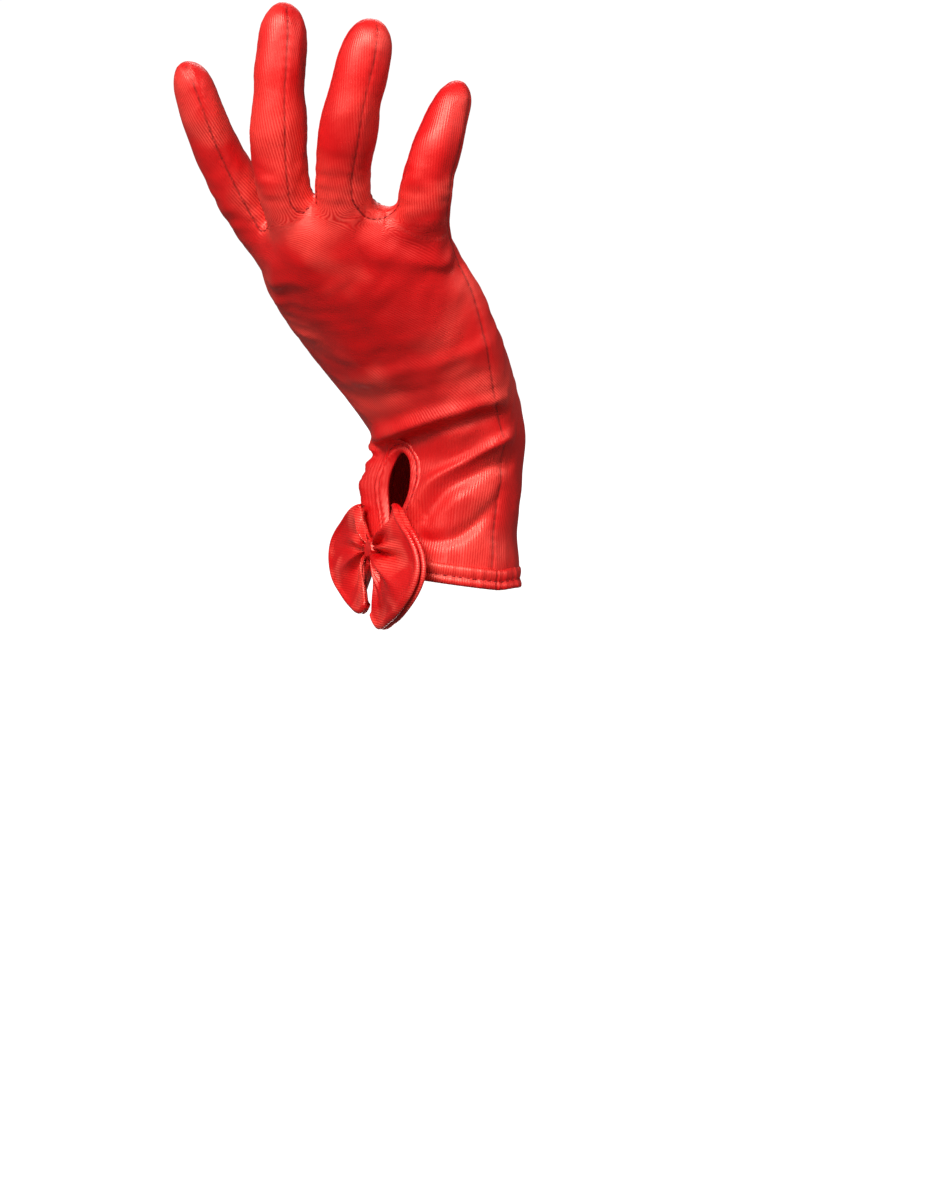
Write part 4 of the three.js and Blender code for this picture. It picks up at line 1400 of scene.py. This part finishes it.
@dataclass
class KeyholeFacing:
    """The cloth turned in round the keyhole: a fine rolled edge and a flat band with a stitched line."""

    keyhole: Keyhole
    finish: SatinFinish
    stitch_at: float = 2.3
    stitch_rise: float = 0.22
    bottom: float = 6.2
    step: float = 0.5

    # How much wider and higher the band is on the thumb's side, where the cloth is gathered
    fuller_width: float = 0.45
    fuller_height: float = 2.0
    rounds: int = 10
    wave: float = 0.05
    wave_length: float = 4.3

    # How far from the opening's edge, how far off the cloth
    profile: tuple = ((3.9, -0.55), (3.75, -0.10), (3.4, 0.22), (2.9, 0.34), (2.55, 0.26), (2.3, 0.10),
                      (2.05, 0.26), (1.6, 0.44), (1.1, 0.58), (0.55, 0.72), (0.1, 0.62), (-0.3, 0.30),
                      (-0.45, -0.15), (-0.35, -0.65), (0.0, -1.05), (0.6, -1.35), (1.8, -1.55),
                      (3.4, -1.6), (3.7, -1.3))

    def build(self, surface: BVHTree) -> tuple[bpy.types.Object, np.ndarray]:
        """Sweep the band's profile round the opening, fuller on the thumb's side.

        Args:
            surface: The cloth's outer face.

        Returns:
            The piece, and the line of its stitches.
        """
        edge = self.keyhole.outline(self.bottom, self.step)
        ahead = np.gradient(edge, axis=0)
        ahead /= np.linalg.norm(ahead, axis=1)[:, None]
        aside = np.stack([ahead[:, 1], -ahead[:, 0]], axis=1)
        aside = np.stack([smooth_line(aside[:, k], 5) for k in range(2)], axis=1)
        run = np.arange(len(edge)) * self.step
        fuller = 1 - smoothstep(-5.0, 1.0, edge[:, 0])
        fuller = np.where(edge[:, 1] < self.keyhole.slit_top + 4.0, fuller * 0.4, fuller)
        fuller = smooth_line(fuller, 12)
        columns = []
        for off, height in self.profile:
            places = edge + aside * (off * (1 + self.fuller_width * fuller))[:, None]
            out = smooth_line(self.keyhole.lay(places, surface), self.rounds)
            flat_part = off > 0.3
            wave = self.wave * np.sin(run * 2 * math.pi / self.wave_length + off) * flat_part
            rise = height * (1 + self.fuller_height * fuller * flat_part * (height > 0))
            columns.append(self.keyhole.to_world(np.column_stack([places, out + rise + wave])))
        rings = np.array(columns).transpose(1, 0, 2)
        points, faces = capped_loft(list(rings), 0)
        piece = make_object("keyhole_facing", points, faces)
        local = self.keyhole.to_local(read_points(piece.data) / MM)
        dress_trim(piece, local[:, 0], local[:, 1], self.finish)
        places = edge + aside * (self.stitch_at * (1 + self.fuller_width * fuller))[:, None]
        out = smooth_line(self.keyhole.lay(places, surface), self.rounds)
        out = out + self.stitch_rise * (1 + self.fuller_height * 0.5 * fuller)
        return piece, self.keyhole.to_world(np.column_stack([places, out]))


@dataclass
class CuffHem:
    """The cuff's edge turned in double, with a stitched line round it."""

    form: HandForm
    keyhole: Keyhole
    finish: SatinFinish
    stitch_height: float = 2.9
    stitch_rise: float = 0.52
    places: int = 420
    slit_radius: float = 23.0
    run_radius: float = 24.0
    knit_radius: float = 25.0
    seam_angle: float = 79.0
    seam_depth: float = 0.7

    # The lower edge curls out past the edge seam
    curl: float = 1.5
    curl_angle: float = 104.0
    curl_height: float = 6.0

    # Height above the glove's edge, how far off the cloth
    profile: tuple = ((6.1, -1.2), (6.7, -0.25), (6.75, 0.30), (6.3, 0.72), (5.4, 0.92), (4.4, 0.90),
                      (3.6, 0.72), (3.1, 0.46), (2.9, 0.40), (2.7, 0.46), (2.2, 0.78), (1.3, 0.98),
                      (0.6, 0.86), (0.1, 0.45), (-0.1, -0.15), (0.0, -0.9), (0.5, -1.5), (2.0, -1.75),
                      (4.4, -1.75), (5.6, -1.6))

    def flare(self, around: np.ndarray) -> np.ndarray:
        """Give how far the hem's lower edge stands out: it curls out a little past the edge seam."""
        return self.curl * np.exp(-(((around - self.curl_angle) / 16.0) ** 2))

    def sag(self, around: np.ndarray) -> np.ndarray:
        """Give how far the hem rises from level.

        Args:
            around: Angles from the back.

        Returns:
            Millimetres, most past the edge seam, where the palm's side is shorter.
        """
        uneven = 0.22 * np.sin(np.radians(around) * 2.0 + 0.6)
        past_seam = smoothstep(self.seam_angle, self.curl_angle, around)
        return uneven + 1.3 * past_seam * (1 - smoothstep(150.0, 220.0, around))

    def build(self) -> tuple[bpy.types.Object, np.ndarray]:
        """Sweep the hem's profile round the wrist, from one side of the slit to the other.

        Returns:
            The piece, and the line of its stitches.
        """
        slit = math.degrees(self.keyhole.slit_width / 2 / self.slit_radius)
        around = np.linspace(self.keyhole.around + slit, self.keyhole.around + 360.0 - slit, self.places)
        run = np.radians(around) * self.run_radius
        sag = self.sag(around)
        ring = []
        for height, off in self.profile:
            wave = 0.13 * np.sin(run * 2 * math.pi / 5.2) + 0.10 * np.sin(run * 2 * math.pi / 3.3 + 1.0)
            seam = -self.seam_depth * np.exp(-(((around - self.seam_angle) / 1.5) ** 2)) * (off > 0)
            lower = self.flare(around) * max(0.0, 1 - max(height, 0.0) / self.curl_height)
            grow = off + wave * (off > 0) + seam + lower
            ring.append(self.form.skin(np.full(len(around), height) + sag, around, grow))
        rings = np.array(ring).transpose(1, 0, 2)
        points, faces = capped_loft(list(rings), 0)
        piece = make_object("cuff_hem_fold", points, faces)
        made = read_points(piece.data) / MM
        turn = np.arctan2(made[:, 0], -made[:, 1])
        dress_trim(piece, turn * self.knit_radius, made[:, 2], self.finish)
        rise = self.stitch_rise + self.flare(around) * 0.5
        line = self.form.skin(np.full(len(around), self.stitch_height) + sag, around, rise)
        return piece, line


# The bow and the pad under it


@dataclass
class WristBow:
    """The bow over the closed slit: two gathered wings of double cloth and a pinched knot."""

    keyhole: Keyhole
    finish: SatinFinish
    height: float = 8.0
    seated: float = 1.6
    tilt: float = -4.0

    # How far the thumb's wing and the little finger's wing bend back to the wrist at their reach
    wrap: tuple[float, float] = (-0.5, 2.2)
    reach: float = 27.0
    layer: float = 0.9
    mouth: float = 2.3

    # Sharp creases at the gathers, broad swells, and the thick stitched edge as a share of the cloth
    crease: float = 1.75
    billow: float = 1.3
    bead: float = 1.5

    # How far the gathers run under the knot, and the knot's width, height and depth
    under_knot: float = 1.0
    knot: tuple = (6.4, 7.0, 6.0)
    edge_places: int = 170
    reach_places: int = 34
    lip: float = 0.35

    # The lip's section: share of half the cloth's thickness, and share of the lip past the edge
    lip_rows: tuple = ((0.7, 1.2), (0, 1.7), (-0.7, 1.2))

    # The wings' outer edges: angle up from straight out, in degrees, and distance from the gathers
    thumb_edge: tuple = ((-108, 18.4), (-100, 20.6), (-77, 20.6), (-50, 21.8), (-29, 24.4), (-14, 26.8),
                         (-5, 26.8), (3, 24.6), (13, 21.2), (28, 18.2), (49, 15.6))
    little_edge: tuple = ((-83, 21.0), (-77, 24.6), (-68, 25.0), (-56, 24.8), (-44, 26.0), (-32, 27.2),
                          (-19, 28.4), (-9, 28.8), (0, 28.0), (10, 25.8), (20, 23.2), (33, 20.2),
                          (50, 17.8), (70, 16.4))

    def seat(self, points: np.ndarray, out: float) -> np.ndarray:
        """Put points of the bow's own frame on the wrist.

        Args:
            points: Across, up and out from the bow's middle.
            out: How far the bow's middle is from the cuff's axis.

        Returns:
            The points in the glove's frame.
        """
        tilt = math.radians(self.tilt)
        turned = np.stack([points[:, 0] * math.cos(tilt) - points[:, 1] * math.sin(tilt),
                           points[:, 0] * math.sin(tilt) + points[:, 1] * math.cos(tilt) + self.height,
                           points[:, 2] + out - self.seated], axis=1)
        return self.keyhole.to_world(turned)

    def wing(self, side: int, out: float) -> bpy.types.Object:
        """Make one wing.

        Args:
            side: -1 for the thumb's side, 1 for the little finger's.
            out: How far the bow's middle is from the cuff's axis.

        Returns:
            The piece.
        """
        rows = np.array(self.little_edge if side > 0 else self.thumb_edge, float)
        gathered = self.knot[0] / 2 - self.under_knot
        angles = np.linspace(rows[0, 0], rows[-1, 0], self.edge_places)
        edges = smooth_line(np.interp(angles, rows[:, 0], rows[:, 1]), 24)
        middle_angle = (rows[0, 0] + rows[-1, 0]) / 2
        half_span = (rows[-1, 0] - rows[0, 0]) / 2
        shares = np.linspace(0.0, 1.0, self.reach_places) ** 0.85
        seed = 2.3 if side > 0 else 0.4
        reach_at = dict(zip(angles, edges))

        def place(angle: float, share: float, layer: int, skin: float) -> tuple[float, float, float]:
            """Place a point of the wing by its direction, its share of the reach, its layer and its face."""
            turn = math.radians(angle)
            reach = reach_at[angle] * share
            part = (reach / self.reach) ** 2
            fan = (angle - middle_angle) / half_span
            phase = fan * 4.2 * math.pi + seed + 0.5 * layer
            ridge = math.cos(phase) + 0.35 * math.cos(2 * phase + 0.6)
            fade = math.exp(-((share - 0.22) / 0.34) ** 2)
            sharp = self.crease * ridge * fade
            small = 0.28 * math.exp(-((share - 0.1) / 0.16) ** 2) * math.cos(fan * 17.0 * math.pi + seed)
            swell = math.sin(math.pi * min(share, 1.0) * 0.85)
            broad = self.billow * swell * math.cos(fan * 2.2 * math.pi + seed)
            close = 1 - 0.75 * abs(fan) ** 6
            skin *= 1 + self.bead * math.exp(-((share - 0.965) / 0.035) ** 2)
            gap = self.mouth / 2 * math.sin(math.pi / 2 * min(share, 1.0)) * close
            depth = layer * gap + skin + sharp + small + broad - self.wrap[side > 0] * part
            gather = math.sin(turn) * gathered * (1 - 0.3 * share)
            return (side * (gathered + reach * math.cos(turn)), gather + reach * math.sin(turn), depth)

        half = self.layer / 2
        past_edge = self.lip / self.reach
        rings = []
        for angle in angles:
            front = [place(angle, s, 1, half) for s in shares]
            lip = [place(angle, 1.0 + past_edge * b, 1, half * a) for a, b in self.lip_rows]
            crotch = [place(angle, s, 1, -half) for s in shares[::-1][:-1]]
            inside = [place(angle, s, -1, half) for s in shares[1:]]
            lip_rear = [place(angle, 1.0 + past_edge * b, -1, half * a) for a, b in self.lip_rows]
            rear = [place(angle, s, -1, -half) for s in shares[::-1]]
            rings.append(self.seat(np.array(front + lip + crotch + inside + lip_rear + rear), out))
        points, faces = capped_loft(rings, 0)
        name = "bow_wing_little" if side > 0 else "bow_wing_thumb"
        piece = make_object(name, points, faces)
        local = self.keyhole.to_local(read_points(piece.data) / MM)
        dress_trim(piece, local[:, 1], local[:, 0], self.finish)
        return piece

    def make_knot(self, out: float) -> bpy.types.Object:
        """Make the knot: a small pinch of cloth with creases that run into its middle.

        Args:
            out: How far the bow's middle is from the cuff's axis.

        Returns:
            The piece.
        """
        rows, sides = 34, 96
        turn = np.linspace(0.0, 2 * math.pi, sides, endpoint=False)
        rings = []
        for i in range(1, rows):
            lift = math.pi * i / rows
            crease = (1 + 0.10 * np.cos(turn * 7) * math.sin(lift)
                      + 0.05 * np.cos(turn * 12 + 1.0) * math.sin(lift) ** 2)
            radius = math.sin(lift) ** 0.8 * crease
            pinch = 1 - 0.30 * math.exp(-((math.cos(lift) - 1.0) / 0.18) ** 2)
            ring = np.stack([np.cos(turn) * radius * self.knot[0] / 2,
                             np.sin(turn) * radius * self.knot[1] / 2,
                             np.full(sides, math.cos(lift) * pinch * self.knot[2] / 2)], axis=1)
            rings.append(self.seat(ring, out))
        points, faces = capped_loft(rings, 0)
        piece = make_object("bow_knot_pinch", points, faces)
        local = self.keyhole.to_local(read_points(piece.data) / MM)
        dress_trim(piece, local[:, 0], local[:, 1], self.finish)
        return piece


@dataclass
class ClosureTab:
    """The small pad behind the bow that closes the slit."""

    finish: SatinFinish
    edge_round: float = 0.5

    def build(self) -> bpy.types.Object:
        """Round a copy of the CAD tab's shape into a soft pad.

        Returns:
            The piece.
        """
        source = bpy.data.objects["closure_tab"]
        mesh = source.data.copy()
        piece = bpy.data.objects.new("closure_pad", mesh)
        bpy.context.scene.collection.objects.link(piece)
        shaper = bmesh.new()
        shaper.from_mesh(mesh)
        bmesh.ops.remove_doubles(shaper, verts=shaper.verts, dist=1e-6)
        bmesh.ops.dissolve_limit(shaper, angle_limit=0.02, verts=shaper.verts, edges=shaper.edges)
        bmesh.ops.bevel(shaper, geom=shaper.edges[:], offset=self.edge_round * MM, segments=3,
                        affect="EDGES", profile=0.5)
        shaper.to_mesh(mesh)
        shaper.free()
        mesh.materials.clear()
        mesh.materials.append(self.finish.build())
        mesh.shade_smooth()
        return piece


# Rows of stitches


@dataclass
class Stitching:
    """Rows of thread stitches along lines, made with Geometry Nodes."""

    finish: ThreadFinish
    tree: bpy.types.NodeTree | None = None

    def node_tree(self, material: bpy.types.Material) -> bpy.types.NodeTree:
        """Build the tree that lays stitches along a curve.

        Args:
            material: The thread.

        Returns:
            The tree, with inputs for the pitch, the stitch's length and the thread's width.
        """
        tree = bpy.data.node_groups.new("stitch_row", "GeometryNodeTree")
        tree.interface.new_socket("Geometry", in_out="INPUT", socket_type="NodeSocketGeometry")
        for name, value in (("Pitch", 2.4 * MM), ("Stitch Length", 1.7 * MM), ("Thread Width", 0.35 * MM)):
            socket = tree.interface.new_socket(name, in_out="INPUT", socket_type="NodeSocketFloat")
            socket.default_value = value
        tree.interface.new_socket("Geometry", in_out="OUTPUT", socket_type="NodeSocketGeometry")
        given = add_node(tree, "NodeGroupInput")
        curve = add_node(tree, "GeometryNodeMeshToCurve", None, {0: given.outputs["Geometry"]})
        spaced = add_node(tree, "GeometryNodeResampleCurve", {"mode": "LENGTH"},
                          {"Curve": curve.outputs[0], "Length": given.outputs["Pitch"]})
        tangent = add_node(tree, "GeometryNodeInputTangent")
        aligned = add_node(tree, "FunctionNodeAlignEulerToVector", {"axis": "Z"},
                           {"Vector": tangent.outputs[0]})
        thread = add_node(tree, "GeometryNodeMeshUVSphere", None, {"Segments": 6, "Rings": 5, "Radius": 0.5})
        size = add_node(tree, "ShaderNodeCombineXYZ", None,
                        {0: given.outputs["Thread Width"], 1: given.outputs["Thread Width"],
                         2: given.outputs["Stitch Length"]})
        points = add_node(tree, "GeometryNodeInstanceOnPoints", None,
                          {"Points": spaced.outputs[0], "Instance": thread.outputs[0],
                           "Rotation": aligned.outputs[0], "Scale": size.outputs[0]})
        real = add_node(tree, "GeometryNodeRealizeInstances", None, {0: points.outputs[0]})
        smooth = add_node(tree, "GeometryNodeSetShadeSmooth", None, {"Geometry": real.outputs[0]})
        dressed = add_node(tree, "GeometryNodeSetMaterial", None,
                           {"Geometry": smooth.outputs[0], "Material": material})
        add_node(tree, "NodeGroupOutput", None, {0: dressed.outputs[0]})
        return tree

    def row(self, name: str, lines: list[np.ndarray], pitch: float, length: float,
            width: float) -> bpy.types.Object:
        """Lay stitches along lines.

        Args:
            name: The piece's name.
            lines: The lines, in millimetres.
            pitch: The distance between stitches.
            length: The length of a stitch.
            width: The thread's width.

        Returns:
            The piece, as a plain mesh.
        """
        if self.tree is None:
            self.tree = self.node_tree(self.finish.build())
        points: list[tuple[float, ...]] = []
        edges: list[tuple[int, int]] = []
        for line in lines:
            start = len(points)
            points += [tuple(p * MM) for p in line]
            edges += [(start + i, start + i + 1) for i in range(len(line) - 1)]
        mesh = bpy.data.meshes.new(name)
        mesh.from_pydata(points, edges, [])
        piece = bpy.data.objects.new(name, mesh)
        bpy.context.scene.collection.objects.link(piece)
        rows = piece.modifiers.new("stitches", "NODES")
        rows.node_group = self.tree
        sizes = {"Pitch": pitch * MM, "Stitch Length": length * MM, "Thread Width": width * MM}
        for item in self.tree.interface.items_tree:
            if item.name in sizes and item.in_out == "INPUT":
                rows[item.identifier] = sizes[item.name]
        apply_modifiers(piece)
        return piece


# Camera, floor and lights


@dataclass
class Studio:
    """White studio: camera at the picture's angle, a pale floor and soft lights."""

    azimuth: float = 40.1
    elevation: float = 4.5
    roll: float = 7.1
    distance: float = 1300.0
    scale: float = 2.95
    origin: tuple = (440.9, 578.4)
    image: tuple = (925.0, 1200.0)
    floor_height: float = -260.0
    floor_reach: float = 9000.0
    sensor: float = 36.0
    look_at: tuple = (-0.005, -0.04, 0.08)

    # Metres to the right of the glove, above it and towards the camera, the light's side, and its watts
    lights: tuple = (("key", -0.35, 0.65, 1.05, 0.40, 24.0),
                     ("left", -0.80, 0.10, 1.00, 0.60, 5.0),
                     ("right", 1.00, 0.40, 0.65, 0.50, 5.0),
                     ("low", -0.20, -0.70, 0.90, 0.40, 2.0),
                     ("behind", 0.10, 0.90, -0.90, 0.70, 8.0),
                     ("behind_low", 0.10, -0.60, -1.10, 0.70, 5.0))

    def axes(self) -> tuple[Vector, Vector, Vector]:
        """Work out how the camera stands.

        Returns:
            Its right, up and back directions.
        """
        turn, lift = math.radians(self.azimuth), math.radians(self.elevation)
        back = Vector((math.sin(turn) * math.cos(lift), -math.cos(turn) * math.cos(lift), math.sin(lift)))
        right = Vector((math.cos(turn), math.sin(turn), 0.0))
        up = back.cross(right)
        roll = math.radians(self.roll)
        rolled_right = right * math.cos(roll) + up * math.sin(roll)
        rolled_up = up * math.cos(roll) - right * math.sin(roll)
        return rolled_right, rolled_up, back

    def camera(self) -> None:
        """Set the camera at the picture's angle, distance and frame."""
        right, up, back = self.axes()
        data = bpy.data.cameras.new("camera")
        camera = bpy.data.objects.new("camera", data)
        bpy.context.scene.collection.objects.link(camera)
        aside = (self.image[0] / 2 - self.origin[0]) / self.scale
        below = (self.image[1] / 2 - self.origin[1]) / self.scale
        place = (back * self.distance + right * aside - up * below) * MM
        camera.matrix_world = Matrix.Translation(place) @ Matrix((right, up, back)).transposed().to_4x4()
        data.sensor_width = self.sensor
        data.lens = self.sensor * self.distance / (self.image[1] / self.scale)
        data.clip_start, data.clip_end = 0.05, 100.0
        bpy.context.scene.camera = camera

    def light(self, name: str, across: float, high: float, near: float, size: float, watts: float) -> None:
        """Hang a soft light, placed as the camera sees it.

        Args:
            name: The light's name.
            across: Metres to the camera's right of the glove.
            high: Metres above it.
            near: Metres towards the camera.
            size: The light's side in metres.
            watts: Its power.
        """
        right, up, back = self.axes()
        data = bpy.data.lights.new(name, "AREA")
        data.shape = "DISK"
        data.size = size
        data.energy = watts
        data.color = srgb("ffffff")[:3]
        lamp = bpy.data.objects.new(name, data)
        bpy.context.scene.collection.objects.link(lamp)
        target = Vector(self.look_at)
        lamp.location = target + right * across + up * high + back * near
        lamp.rotation_euler = (lamp.location - target).to_track_quat("Z", "Y").to_euler()

    def build(self) -> None:
        """Make the camera, the floor, the surroundings and the lights."""
        self.camera()
        corners = ((-1.0, -1.0), (1.0, -1.0), (1.0, 1.0), (-1.0, 1.0))
        points = [(x * self.floor_reach, y * self.floor_reach, self.floor_height) for x, y in corners]
        floor = make_object("floor", np.array(points), [(0, 1, 2, 3)])
        paper = bpy.data.materials.new("white_paper")
        paper.use_nodes = True
        tree = paper.node_tree
        tree.nodes.clear()
        shader = add_node(tree, "ShaderNodeBsdfPrincipled", None,
                          {"Base Color": srgb("fafafa"), "Roughness": 0.9,
                           "Emission Color": srgb("ffffff"), "Emission Strength": 1.1})
        add_node(tree, "ShaderNodeOutputMaterial", None, {"Surface": shader.outputs[0]})
        floor.data.materials.append(paper)
        floor.visible_diffuse = floor.visible_glossy = False
        world = bpy.data.worlds.new("studio")
        bpy.context.scene.world = world
        world.use_nodes = True
        tree = world.node_tree
        tree.nodes.clear()
        seen = add_node(tree, "ShaderNodeBackground", None, {"Color": srgb("ffffff"), "Strength": 1.05})
        fill = add_node(tree, "ShaderNodeBackground", None, {"Color": srgb("ffffff"), "Strength": 0.13})
        path = add_node(tree, "ShaderNodeLightPath")
        pick = add_node(tree, "ShaderNodeMixShader", None,
                        {0: path.outputs["Is Camera Ray"], 1: fill.outputs[0], 2: seen.outputs[0]})
        add_node(tree, "ShaderNodeOutputWorld", None, {"Surface": pick.outputs[0]})
        for row in self.lights:
            self.light(*row)
        view = bpy.context.scene.view_settings
        view.view_transform = "Standard"
        view.look = "None"


def ride(piece: bpy.types.Object, slot: str, *nodes: str) -> None:
    """Put a piece on the glove's body and hide the CAD nodes that it stands for.

    Args:
        piece: The piece.
        slot: Not used.
        nodes: The CAD nodes.
    """
    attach(piece, BODY)
    if nodes:
        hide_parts(*nodes)
    log.info("%s: %d faces", piece.name, len(piece.data.polygons))


def main() -> None:
    """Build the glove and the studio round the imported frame."""
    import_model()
    form = HandForm()
    keyhole = Keyhole(form)
    satin = SatinFinish("stretch_satin")
    trim = SatinFinish("turned_satin", wale_pitch=0.8, crumple=0.12)
    ribbon = SatinFinish("bow_satin", roughness=0.37, float_light=0.70, patch_scale=85.0, wale_pitch=0.8,
                         crumple=0.35)
    studio = Studio()
    studio.build()

    plan = SeamPlan(form)
    cloth = GloveCloth(form, plan, satin)
    cloth.shape()
    surface = BVHTree.FromPolygons(cloth.points.tolist(), cloth.quads.tolist())
    hand = cloth.build(keyhole)
    ride(hand, "hand_satin", "back_panel", "palm_panel", "fourchette_index_middle", "fourchette_middle_ring",
         "fourchette_ring_little", "thumb_piece")

    facing, facing_line = KeyholeFacing(keyhole, trim).build(surface)
    ride(facing, "binding_satin", "keyhole_binding")
    hem, hem_line = CuffHem(form, keyhole, trim).build()
    ride(hem, "hem_satin", "cuff_hem")

    low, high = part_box("bow_knot")
    knot_out = float(np.array((low + high) / 2) @ keyhole.outward) / MM
    bow = WristBow(keyhole, ribbon)
    left, right = bow.wing(-1, knot_out), bow.wing(1, knot_out)
    knot = bow.make_knot(knot_out)
    ride(left, "bow_satin", "bow_wing_thumb_side")
    ride(right, "bow_satin", "bow_wing_little_side")
    ride(knot, "bow_satin", "bow_knot")
    ride(ClosureTab(trim).build(), "tab_satin", "closure_tab")

    sewing = Stitching(ThreadFinish())
    hem_row = sewing.row("hem_stitches", [hem_line], pitch=2.5, length=1.9, width=0.36)
    facing_row = sewing.row("keyhole_stitches", [facing_line], pitch=2.2, length=1.6, width=0.34)
    forks = [seam.line for seam in plan.seams if seam.kind is SeamKind.FORK]
    fork_row = sewing.row("fork_stitches", forks, pitch=1.9, length=1.3, width=0.32)
    ride(hem_row, "hem_satin")
    ride(facing_row, "binding_satin")
    ride(fork_row, "hand_satin")


if __name__ == "__main__":
    main()
